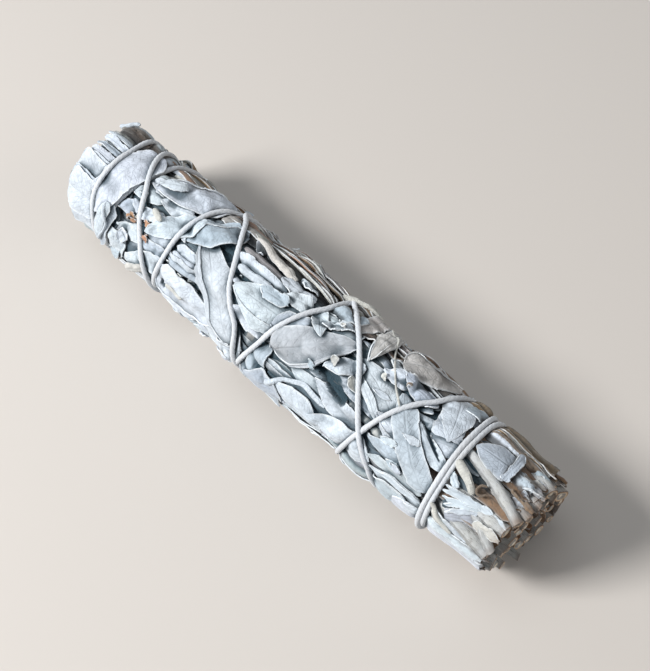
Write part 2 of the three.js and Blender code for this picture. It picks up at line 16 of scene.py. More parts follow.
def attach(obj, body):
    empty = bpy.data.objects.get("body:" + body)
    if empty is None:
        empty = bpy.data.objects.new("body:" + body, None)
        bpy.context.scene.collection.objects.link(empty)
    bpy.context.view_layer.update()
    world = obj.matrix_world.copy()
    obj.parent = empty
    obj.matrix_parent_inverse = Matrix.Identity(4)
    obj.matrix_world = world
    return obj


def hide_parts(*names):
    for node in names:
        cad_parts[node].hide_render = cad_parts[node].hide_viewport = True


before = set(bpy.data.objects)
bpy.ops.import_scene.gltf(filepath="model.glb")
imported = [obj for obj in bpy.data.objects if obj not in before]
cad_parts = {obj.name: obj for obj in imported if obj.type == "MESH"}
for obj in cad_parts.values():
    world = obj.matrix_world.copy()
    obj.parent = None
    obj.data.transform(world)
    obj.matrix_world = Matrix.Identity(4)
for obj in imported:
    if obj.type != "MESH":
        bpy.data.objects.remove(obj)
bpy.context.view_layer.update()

MM = 0.001
AXIS = np.array([0.25, -0.03, 19.53])  # the middle of the roll, in mm

# %% [markdown]
# ## Camera, floor and light
# The camera looks down on the roll from the side of its cut stems. One broad soft light stands low in front
# of the roll's long side, as a window does, and a pale sky fills the shadows. The floor is plain.

# %% Camera
AZIMUTH, ELEVATION, DISTANCE = math.radians(45.63), math.radians(56.09), 409.66
AIM_ALONG, AIM_RIGHT, AIM_UP = 3.5, 4.13, 2.85  # where it looks, in mm from the middle of the roll
FILM_WIDTH = 36
FOCAL_PIXELS, LONG_SIDE_PIXELS = 1400, 671  # the lens, measured on the longer side of the image
level = math.cos(ELEVATION)
back = np.array([math.sin(AZIMUTH) * level, -math.cos(AZIMUTH) * level, math.sin(ELEVATION)])
right = np.array([math.cos(AZIMUTH), math.sin(AZIMUTH), 0.0])
above = np.cross(back, right)
aim = AXIS + np.array([AIM_ALONG, 0, 0]) + right * AIM_RIGHT + above * AIM_UP
camera = bpy.data.objects.new("camera", bpy.data.cameras.new("camera"))
bpy.context.scene.collection.objects.link(camera)
camera.data.sensor_width = FILM_WIDTH
camera.data.lens = FILM_WIDTH * FOCAL_PIXELS / LONG_SIDE_PIXELS
camera.data.clip_start = 0.01
camera.location = (aim + back * DISTANCE) * MM
camera.rotation_euler = Matrix((right, above, back)).transposed().to_euler()
bpy.context.scene.camera = camera
print("camera at", [round(c, 4) for c in camera.location])

# %% Floor and light
FLOOR_WIDTH, FLOOR_COLOUR, FLOOR_ROUGHNESS = 30, (0.62, 0.58, 0.54, 1), 0.8
SKY_COLOUR, SKY_STRENGTH = (0.82, 0.91, 1.0, 1), 0.20
LIT_PLACE = Vector((0, 0, 0.02))

bpy.ops.object.select_all(action="DESELECT")
bpy.ops.mesh.primitive_plane_add(size=FLOOR_WIDTH)
floor = bpy.context.object
floor.name = "floor"
pale = bpy.data.materials.new("pale floor")
pale.use_nodes = True
pale_sockets = pale.node_tree.nodes["Principled BSDF"].inputs
pale_sockets["Base Color"].default_value = FLOOR_COLOUR
pale_sockets["Roughness"].default_value = FLOOR_ROUGHNESS
floor.data.materials.append(pale)


def soft_light(name, place, size, power, colour):
    lamp = bpy.data.objects.new(name, bpy.data.lights.new(name, "AREA"))
    bpy.context.scene.collection.objects.link(lamp)
    lamp.data.size = size
    lamp.data.energy = power
    lamp.data.color = colour
    lamp.location = place
    lamp.rotation_euler = (LIT_PLACE - lamp.location).to_track_quat("-Z", "Y").to_euler()


soft_light("window", (-0.52, -0.78, 0.78), 0.36, 18.5, (1.0, 0.99, 0.98))
soft_light("overhead", (-0.2, -0.1, 1.3), 0.8, 3, (0.95, 0.98, 1.0))
soft_light("fill", (0.95, 0.45, 0.5), 0.8, 2.2, (1.0, 0.88, 0.77))
world = bpy.data.worlds.new("room")
bpy.context.scene.world = world
world.use_nodes = True
sky = world.node_tree.nodes["Background"].inputs
sky["Color"].default_value = SKY_COLOUR
sky["Strength"].default_value = SKY_STRENGTH
bpy.context.scene.view_settings.view_transform = "Standard"

# %% [markdown]
# ## The thread's route
# Everything else gives way to the thread, so its route comes first. It is the CAD model's own: x along the
# roll against the whole turn since the start, out to the tips and back to the stems.

# %% The route, in mm and degrees
WAY_OUT = [
    (64.6, 262), (63.4, 315), (64.3, 360), (65.4, 405), (65.3, 450), (62, 500), (57, 560), (54, 620),
    (51.3, 675), (48.7, 705), (46, 720), (41.3, 750), (37.5, 780), (34, 810), (24, 900), (15, 970),
    (7.3, 1035), (5.7, 1065), (3.8, 1080), (0.2, 1110), (-3.5, 1140), (-7.5, 1170), (-20, 1260), (-31, 1330),
    (-39.5, 1395), (-43, 1425), (-44.3, 1470), (-45.5, 1510), (-47.5, 1540), (-54, 1620), (-61, 1690),
    (-65.5, 1755), (-66.3, 1800), (-68.5, 1842), (-70, 1890), (-74, 1960),
]
WAY_BACK = [
    (-74, 1960), (-78, 2040), (-79.6, 2115), (-77.8, 2160), (-77.2, 2205), (-75.8, 2250), (-76.5, 2340),
    (-75.5, 2420), (-73, 2475), (-70, 2500), (-66.3, 2520), (-62, 2538), (-57.5, 2562), (-53.5, 2585),
    (-49.5, 2610), (-46, 2700), (-42, 2780), (-38.5, 2830), (-33.5, 2850), (-26.8, 2880), (-21, 2910),
    (-16.8, 2925), (-12.3, 2940), (-10, 2970), (-4, 3060), (2, 3140), (7, 3190), (13, 3210), (23, 3240),
    (31.5, 3270), (38.5, 3300), (44.7, 3330), (52, 3420), (59, 3500), (61.3, 3555), (62.8, 3600),
    (64.2, 3645), (63.8, 3690), (62.4, 3760), (62.2, 3820), (63, 3858),
]
THREAD = 1.62  # across the thread


def smooth_route(points, step):
    """x and turn on a smooth curve through the points, one place for each step of turn."""
    xs, turns = np.array(points, float).T
    slopes = np.gradient(xs, turns)
    slopes[1:-1] = (xs[2:] - xs[:-2]) / (turns[2:] - turns[:-2])
    turn = np.linspace(turns[0], turns[-1], int(round((turns[-1] - turns[0]) / step)) + 1)
    i = np.clip(np.searchsorted(turns, turn, side="right") - 1, 0, len(turns) - 2)
    span = turns[i + 1] - turns[i]
    u = (turn - turns[i]) / span
    x = (
        (2 * u**3 - 3 * u**2 + 1) * xs[i] + (u**3 - 2 * u**2 + u) * span * slopes[i]
        + (3 * u**2 - 2 * u**3) * xs[i + 1] + (u**3 - u**2) * span * slopes[i + 1]
    )
    return x, turn


out_x, out_turn = smooth_route(WAY_OUT, 1.0)
back_x, back_turn = smooth_route(WAY_BACK, 1.0)
print("route places:", len(out_x), "out and", len(back_x), "back")

# %% [markdown]
# ## A map of the roll
# Leaves are pressed on one another, so each has to know how high the roll already is where it lies. The
# roll is unrolled into a grid of cells, x one way and turn the other. The turn is in degrees from the top,
# towards the front. The roll's own form is held in the map too: a slim barrel with a furrow wherever the
# thread pulls.

# %% The grid
CELL = 0.4  # mm
COLUMNS, ROWS = 480, 290
FIRST = -96.0  # x of the first column
RADIUS = 18.5
HALF_ROLL = 90
ARC = RADIUS * math.pi / 180  # mm for each degree of turn
BINDING, DRAWN_IN = 66, 0.94  # past the binding, lengths are drawn in this much
WAVE = 6.3  # a whole wave, in radians
grid_x = (FIRST + CELL * np.arange(COLUMNS))[:, None] * np.ones((1, ROWS))
grid_turn = np.ones((COLUMNS, 1)) * (360 / ROWS * np.arange(ROWS))[None, :]
print("map: %d by %d cells, %.0f mm along" % (COLUMNS, ROWS, COLUMNS * CELL))


def cells(x, turn):
    column = np.clip(np.rint((x - FIRST) / CELL).astype(int), 0, COLUMNS - 1)
    return column, np.rint(np.asarray(turn) / 360 * ROWS).astype(int) % ROWS


def cells_around(reach):
    """Steps along and round to all cells within that many mm."""
    n = int(reach / CELL)
    return np.meshgrid(np.arange(-n, n + 1), np.arange(-n, n + 1), indexing="ij")


def apart(turn, other):
    """How far one turn is from another, in mm round the roll."""
    return ((turn - other + 180) % 360 - 180) * ARC


# %% Read the map, soften it and wind it up
def read(field, x, turn):
    """The field between its cells."""
    gx = np.clip((x - FIRST) / CELL, 0, COLUMNS - 1.001)
    gt = (turn / 360 * ROWS) % ROWS
    i, j = gx.astype(int), gt.astype(int) % ROWS
    fx, ft = gx - i, gt - np.floor(gt)
    k = (j + 1) % ROWS
    return (
        field[i, j] * (1 - fx) * (1 - ft) + field[i + 1, j] * fx * (1 - ft)
        + field[i, k] * (1 - fx) * ft + field[i + 1, k] * fx * ft
    )


def blurred(field, reach):
    """The field, softened over that many mm, round the roll and along it."""
    n = int(3 * reach / CELL)
    kernel = np.exp(-0.5 * (np.arange(-n, n + 1) * CELL / reach) ** 2)
    kernel /= kernel.sum()
    wrapped = np.concatenate([field[:, -n:], field, field[:, :n]], axis=1)
    rows = np.apply_along_axis(np.convolve, 1, wrapped, kernel, "valid")
    long = np.pad(rows, ((n, n), (0, 0)), mode="edge")
    return np.apply_along_axis(np.convolve, 0, long, kernel, "valid")


def place(x, turn, r):
    """Points in mm from places on the roll."""
    a = np.radians(turn)
    x = np.where(x > BINDING, BINDING + (x - BINDING) * DRAWN_IN, x)
    return np.stack([x + AXIS[0], -r * np.sin(a) + AXIS[1], r * np.cos(a) + AXIS[2]], axis=-1)


print("top and front of the roll, in mm:", [place(0, turn, RADIUS).round(2).tolist() for turn in (0, 90)])

# %% The roll's own form
def distance_to(xs, turns, reach=8.0):
    """How far each cell is from a route, in mm, up to that reach."""
    far = np.full((COLUMNS, ROWS), reach)
    di, dj = cells_around(reach)
    ci, cj = cells(xs, turns)
    for x, turn, i, j in zip(xs[::2], turns[::2], ci[::2], cj[::2]):
        near = np.clip(i + di, 0, COLUMNS - 1), (j + dj) % ROWS
        np.minimum.at(far, near, np.hypot(grid_x[near] - x, apart(grid_turn[near], turn)))
    return far


def hum(x, turn, seed, scale):
    """A smooth even noise round the roll, from -1 to 1."""
    total = np.zeros(np.broadcast(x, turn).shape)
    draw = np.random.default_rng(seed)
    for _ in range(9):
        waves, along = draw.integers(-5, 6), draw.uniform(-1, 1) / scale
        total = total + np.sin(np.radians(turn) * waves + x * along * 2 * math.pi + draw.uniform(0, WAVE))
    return total / 4.5


from_thread = np.minimum(distance_to(out_x, out_turn), distance_to(back_x, back_turn))
barrel = RADIUS * (1 + 0.014 * (grid_x / HALF_ROLL) - 0.05 * (grid_x / HALF_ROLL) ** 2)
furrow = 0.85 * np.exp(-((from_thread / 1.9) ** 2)) + 0.25 * np.exp(-((from_thread / 4.5) ** 2))
end_taper = 1.6 * np.clip((-82 - grid_x) / 9, 0, 1) ** 2 + 1.5 * np.clip((grid_x - BINDING) / 18, 0, 1)
upper = 0.35 * (0.5 + 0.5 * np.cos(np.radians(grid_turn - 10)))
flattened = 0.9 * np.exp(-(((grid_x + 32) / 34) ** 2)) * np.exp(-(((grid_turn - 295) / 38) ** 2))
form = barrel - furrow - end_taper - upper - flattened + 0.25 * hum(grid_x, grid_turn, 5, 22)
print("radius of the roll: %.1f to %.1f mm" % (form.min(), form.max()))

# %% [markdown]
# ## Twelve sprigs round five
# The CAD model splits the roll into sprigs like the slices of an orange: twelve round it and five in its
# heart. Every leaf and shoot goes to the sprig whose slice it starts in, so that each sprig stays one
# piece.

# %% Whose slice it is
RING_SPRIGS, HEART_SPRIGS = 12, 5
RING_TURN, HEART_TURN = 360 / RING_SPRIGS, 360 / HEART_SPRIGS
FIRST_MIDDLE = -38  # the turn at the middle of the first slice
HEART_RADIUS = 7.6


def sprig_at(turn, r=RADIUS):
    if r < HEART_RADIUS:
        return RING_SPRIGS + int(turn // HEART_TURN) % HEART_SPRIGS
    return int(np.rint((turn - FIRST_MIDDLE) / RING_TURN)) % RING_SPRIGS


print("sprig at the top:", sprig_at(0) + 1, "and at the front:", sprig_at(90) + 1)

# %% [markdown]
# ## One leaf blade
# A sage leaf is long and narrow, thick as felt, with a sunk midrib. Every leaf of the bunch is the same
# blade, pressed into another shape, so the blade is modelled once: a flat grid, extruded to a thickness.
# Two more with fewer faces serve the leaves of which little shows.


# %% Model the blades
def model_blade(name, along, across, stiff):
    """A blade as numbers: its faces, for each corner its step along, across and up, and how far it spans."""
    bpy.ops.object.select_all(action="DESELECT")
    bpy.ops.mesh.primitive_grid_add(x_subdivisions=along, y_subdivisions=across, size=2)
    blade = bpy.context.object
    blade.name = name
    bpy.ops.object.mode_set(mode="EDIT")
    bpy.ops.mesh.select_all(action="SELECT")
    bpy.ops.mesh.extrude_region_move(TRANSFORM_OT_translate={"value": (0, 0, 1)})
    bpy.ops.mesh.select_all(action="SELECT")
    bpy.ops.mesh.normals_make_consistent(inside=False)
    bpy.ops.object.mode_set(mode="OBJECT")
    corners = np.array([v.co[:] for v in blade.data.vertices])
    faces = np.array([tuple(p.vertices) for p in blade.data.polygons])
    bpy.data.objects.remove(blade, do_unlink=True)
    i = np.rint((corners[:, 0] + 1) / 2 * along).astype(int)
    j = np.rint((corners[:, 1] + 1) / 2 * across).astype(int)
    u, v = np.meshgrid(np.linspace(0, 1, along + 1), np.linspace(-1, 1, across + 1), indexing="ij")
    return {
        "i": i, "j": j, "up": corners[:, 2], "faces": faces, "stiff": stiff,
        "u": u, "v": v, "sides": np.sign(v) + 0.3 * v,
    }


FINE = model_blade("fine blade", 44, 12, 18)
PLAIN = model_blade("plain blade", 26, 8, 5)
COARSE = model_blade("coarse blade", 16, 4, 5)
print("faces of a blade:", [len(blade["faces"]) for blade in (FINE, PLAIN, COARSE)])

# %% [markdown]
# ## Laying a leaf
# A leaf is a row: x and turn of its base, x and turn of its tip, and its width. It is laid on the map as a
# pressed leaf lies: down on whatever is below, bridging small hollows because it is stiff. Then the map is
# raised where the leaf lies. A style says how the leaf has dried: flat, ridged along its midrib, rolled
# into a quill, curled at the rim, crumpled or gathered into pleats.

# %% Styles and tints
LEAF = 0.42  # how thick a leaf is before the roll is pressed, in mm
STYLES = {
    "flat": {"curl": 0.2, "ridge": 0.0, "crease": 0.25, "rim": 0.4},
    "fold": {"curl": 0.2, "ridge": 0.35, "crease": 0.25, "rim": 0.4},
    "roll": {"curl": 1.7, "ridge": 0.0, "crease": 0.2, "rim": 0.0},
    "curl": {"curl": -1.2, "ridge": 0.0, "crease": 0.25, "rim": 0.8},
    "wavy": {"curl": 0.4, "ridge": 0.15, "crease": 0.8, "rim": 0.9},
    "edge": {"curl": -1.9, "ridge": 0.0, "crease": 0.5, "rim": 0.3},
    "crumple": {"curl": 0.4, "ridge": 0.0, "crease": 1.7, "rim": 0.8},
    "pleat": {"curl": 0.5, "ridge": 0.2, "crease": 1.9, "rim": 0.5, "pleats": 2.6},
}
TINTS = {
    "w": (0.64, 0.71, 0.78),  # white felt
    "b": (0.50, 0.58, 0.66),  # blue-grey
    "g": (0.43, 0.49, 0.53),  # grey-green
    "m": (0.50, 0.54, 0.60),  # mauve-grey
    "t": (0.36, 0.345, 0.33),  # taupe
    "c": (0.62, 0.62, 0.58),  # cream
    "s": (0.61, 0.595, 0.57),  # sand
    "n": (0.24, 0.18, 0.13),  # nut brown
    "u": (0.36, 0.235, 0.15),  # umber
    "o": (0.55, 0.30, 0.17),  # orange-brown
}
OUTLINES = {  # slack past both ends; how long and how round at the stalk, then at the tip; least width
    "lance": (0, 0.2, 0.5, 0.45, 0.68, 0.06),
    "strip": (0, 0.12, 0.5, 0.22, 0.6, 0.15),
    "blunt": (0.02, 0.12, 0.6, 0.05, 0.5, 0.08),
}
rng = np.random.default_rng(41)
top = np.zeros((COLUMNS, ROWS))  # how high the roll is so far
leaves = []
print("styles:", len(STYLES), "tints:", len(TINTS))


# %% A leaf's outline, creases and tears
def outline(u, shape):
    """A leaf's half width along it, from its stalk at 0 to its tip at 1."""
    slack, stalk, stalk_round, tip, tip_round, least = OUTLINES[shape]
    u = np.clip(u, 0, 1)
    widening = np.minimum((u + slack) / stalk, 1) ** stalk_round
    return np.clip(widening * np.minimum((1 + slack - u) / tip, 1) ** tip_round, least, 1)


def ripple(u, v, seed, waves):
    draw = np.random.default_rng(seed)
    total = np.zeros(u.shape)
    for _ in range(5):
        a, b = draw.uniform(-waves, waves), draw.uniform(-1.6, 1.6)
        total += np.sin(a * u * WAVE + b * v * 3.1 + draw.uniform(0, WAVE))
    return total / 3


def creases(u, v, seed, folds, pleats):
    """Sharp folds in a few directions, from 0 to 1, as in a leaf that dried under pressure."""
    draw = np.random.default_rng(seed)
    total = np.zeros(u.shape)
    for _ in range(4):
        a, b = draw.uniform(-folds, folds), draw.uniform(-pleats, pleats)
        total += 2 * np.abs((a * u + b * v + draw.uniform(0, 1)) % 1 - 0.5)
    return total / 4


def torn(u, side, seed, bites):
    """Small angular bites along both margins, from -1 to 1."""
    draw = np.random.default_rng(seed)
    knots = np.sort(draw.uniform(0, 1, bites))
    left, right = (np.interp(u, knots, draw.uniform(-1, 1, bites)) for _ in range(2))
    return np.where(side > 0, left, right)


def curled(half, v, curl):
    """How far aside and how high each place comes as the margins curl down, or up if curl is negative."""
    bend, turned = abs(curl) * np.abs(v), abs(curl)
    side = np.sign(v) * half * np.sin(bend) / turned
    if turned < 1:
        side = side * turned / math.sin(turned)
    if curl < 0:
        return side, half * (1 - np.cos(bend)) / turned
    return side, half * (np.cos(bend) - math.cos(curl)) / curl


print("share of the full width, a tenth along:", {s: round(float(outline(0.1, s)), 2) for s in OUTLINES})


# %% A stiff sheet over the ground
def ground_below(x, turn):
    around = [(0, 0), (CELL, 0), (-CELL, 0), (0, 1.3), (0, -1.3)]
    return np.max([top[cells(x + dx, turn + dt)] for dx, dt in around], axis=0)


def neighbours(sheet):
    """The sum of the four places next to each place."""
    p = np.pad(sheet, 1, mode="edge")
    return p[:-2, 1:-1] + p[2:, 1:-1] + p[1:-1, :-2] + p[1:-1, 2:]


def bridge(ground, rounds):
    """A stiff sheet over the ground: it touches the high places and spans the low ones."""
    sheet = ground.copy()
    for _ in range(rounds):
        sheet = np.maximum(ground, (neighbours(sheet) + 2 * sheet) / 6)
    return sheet


def eased(line, rounds=4):
    """A line of numbers with its corners rounded off. Its ends stay."""
    for _ in range(rounds):
        line[1:-1] = (line[:-2] + line[2:] + 2 * line[1:-1]) / 4
    return line


def between(f, a, b):
    """A sheet's numbers at the shares a and b of the way from corner to corner."""
    return (
        f[:-1, :-1] * (1 - a) * (1 - b) + f[1:, :-1] * a * (1 - b)
        + f[:-1, 1:] * (1 - a) * b + f[1:, 1:] * a * b
    )


def raise_map(x, turn, r):
    """Raises the map under a sheet, between its corners too."""
    gap_along = np.abs(np.diff(x, axis=0)).max()
    gap_across = np.hypot(np.diff(x, axis=1), np.diff(turn, axis=1) * ARC).max()
    steps = [max(2, int(np.ceil(gap / CELL)) + 1) for gap in (gap_along, gap_across)]
    for a in np.linspace(0, 1, steps[0], endpoint=False):
        for b in np.linspace(0, 1, steps[1], endpoint=False):
            np.maximum.at(top, cells(between(x, a, b), between(turn, a, b)), between(r, a, b))


spike = np.zeros((7, 7))
spike[3, 3] = 1
print("beside a spike of 1 mm, a stiff sheet stands %.2f mm up" % bridge(spike, FINE["stiff"])[3, 4])


# %% Lay one leaf
def lay_leaf(row, style, tint, shape, blade=FINE, bow=None, sink=0.0, laid=True, firm=False):
    """Lays one leaf on the map. A firm one keeps its height where the roll is hollow."""
    x0, turn0, x1, turn1, width = row
    dried = STYLES[style]
    u, v, sides = blade["u"], blade["v"], blade["sides"]
    seed = int(rng.integers(1, 1 << 30))
    bow = rng.uniform(-0.04, 0.04) if bow is None else bow
    dx, ds = x1 - x0, (turn1 - turn0) * ARC
    length = math.hypot(dx, ds)
    bites = torn(u, sides, seed + 7, 3 + int(length / 1.8))
    ragged = 1 + 0.05 * ripple(u, sides, seed, 2.0) + (0.62 / width) * bites
    half = 0.5 * width * outline(u, shape) * ragged
    curl = dried["curl"] * rng.uniform(0.7, 1.2)
    side, rise = curled(half, v, curl)
    rise = rise + dried["ridge"] * half * (1 - np.abs(v)) * 0.55
    middle = bow * length * np.sin(np.pi * u) + side
    x = x0 + dx * u + ds / length * middle
    turn = turn0 + (ds * u - dx / length * middle) / ARC
    h = bridge(ground_below(x, turn), blade["stiff"]) + 0.05
    if abs(curl) > 1:  # a rolled leaf is stiff across
        h = eased(h.max(axis=1, keepdims=True) * np.ones(v.shape), 3)
    folds = 0.7 if "pleats" in dried else max(1.5, length / 11)
    wrinkled = creases(u, v, seed + 1, folds, dried.get("pleats", 1.1))
    rise = rise + dried["crease"] * min(1, width / 5) * wrinkled
    colour = np.array(TINTS[tint]) * rng.uniform(0.92, 1.06) + rng.uniform(-0.012, 0.012, 3)
    leaf = {
        "x": x, "turn": turn, "h": h, "rise": rise, "blade": blade, "seed": seed, "tint": colour,
        "length": length, "width": width, "rim": dried["rim"] * rng.uniform(0.3, 1), "sink": sink,
        "sprig": sprig_at(turn0), "hollow": 0.0, "firm": firm,
    }
    if laid:
        raise_map(x, turn, h + rise + LEAF - sink)
    leaves.append(leaf)
    return leaf


print("a leaf is", LEAF, "mm thick")


# %% Fold a margin back
def fold_margin(leaf, side, share):
    """A strip of the leaf's own margin, folded back on it."""
    seed = int(rng.integers(1, 1 << 30))
    u, v = leaf["blade"]["u"], leaf["blade"]["v"]
    swell = np.sin(np.pi * np.clip(u * 1.1 - 0.05, 0.02, 0.98)) ** 0.5
    wide = share * swell * (0.8 + 0.2 * ripple(u, v * 0, seed, 1.2))
    flap = dict(leaf, seed=seed, rim=0.5 * leaf["rim"], tint=leaf["tint"] * rng.uniform(0.94, 1.08))
    last = v.shape[1] - 1
    pick = (side * (1 - wide * (1 - v)) + 1) / 2 * last
    low = np.clip(np.floor(pick).astype(int), 0, last - 1)
    part = pick - low
    row = np.arange(len(low))[:, None]
    for key in ("x", "turn", "h", "rise"):
        flap[key] = leaf[key][row, low] * (1 - part) + leaf[key][row, low + 1] * part
    flap["h"] = flap["h"] + LEAF + 0.08 + 0.15 * (v * -0.5 + 0.5)
    flap["width"] = leaf["width"] * share
    if side < 0:
        for key in ("x", "turn", "h", "rise"):
            flap[key] = flap[key][:, ::-1]
    raise_map(flap["x"], flap["turn"], flap["h"] + flap["rise"] + LEAF - flap["sink"])
    leaves.append(flap)


print("leaves laid so far:", len(leaves))

# %% [markdown]
# ## Pressed leaves below
# Under the leaves that show lie several layers more, and between those that show their edges come out. Rows
# of leaves run from the tips to the binding, like shingles, as the sprigs were laid.

# %% The lower layers
EVEN_TIPS = -89  # the tips are about even here
TRIMMED = -85  # a leaf that reaches past here is blunt, because its tip is cut off


def lay_rows(first, last, apart_x, apart_turn, width, lean_by, styles, shape, tints):
    for row, x in enumerate(np.arange(first, last, apart_x)):
        for turn in np.arange(0, 360, apart_turn) + (row % 2) * apart_turn / 2:
            length = rng.uniform(24, 36)
            lean = math.radians(rng.uniform(-lean_by, lean_by))
            start, base = x + rng.uniform(-5, 5), turn + rng.uniform(-0.25, 0.25) * apart_turn
            tip = max(start - length * math.cos(lean), EVEN_TIPS + rng.uniform(-2, 2))
            leaf = (start, base, tip, base + length * math.sin(lean) / ARC, rng.uniform(*width))
            blunt = "blunt" if tip < TRIMMED else shape
            lay_leaf(leaf, rng.choice(styles), rng.choice(list(tints)), blunt, COARSE, sink=0.3)


lay_rows(-60, 66, 16, 36, (8, 11), 12, ["flat", "wavy"], "lance", "bgmt")
lay_rows(-64, 65, 13, 13, (3.0, 5.5), 9, ["fold", "roll", "fold", "flat", "wavy"], "strip", "wbbggmtwc")
print("lower leaves:", len(leaves))

# %% [markdown]
# ## Leaves on the far side
# The CAD model lays the far side by one rule, with a seeded draw. The same rule here gives the same leaves.

# %% The far side
CAD_FACTOR, CAD_CYCLE = 48271, 2147483647
cad_seed = 41


def cad_draw(low, high):
    global cad_seed
    cad_seed = (cad_seed * CAD_FACTOR) % CAD_CYCLE
    return low + (high - low) * (cad_seed / CAD_CYCLE)


def rule_leaf(x, turn):
    length = cad_draw(25, 33)
    slant = math.radians(cad_draw(-32, 32))
    start, base = x + cad_draw(-4, 4), turn + cad_draw(-7, 7)
    tip = max(start - length * math.cos(slant), -91)
    return start, base, tip, base + length * math.sin(slant) / ARC, cad_draw(9, 12)


for row, x in enumerate(range(-64, 63, 17)):
    shift = 14 * (row % 2)
    for turn in range(118 + shift, 297, 34):
        leaf = rule_leaf(x, turn)
        bow = cad_draw(-0.06, 0.06)
        style = rng.choice(["flat", "flat", "fold", "wavy"])
        shape = "blunt" if leaf[2] < TRIMMED else "lance"
        laid = lay_leaf(leaf, style, rng.choice(list("wwbbgm")), shape, PLAIN, bow=bow)
        if style == "flat":
            fold_margin(laid, rng.choice([-1, 1]), rng.uniform(0.2, 0.4))
print("with the far side:", len(leaves))
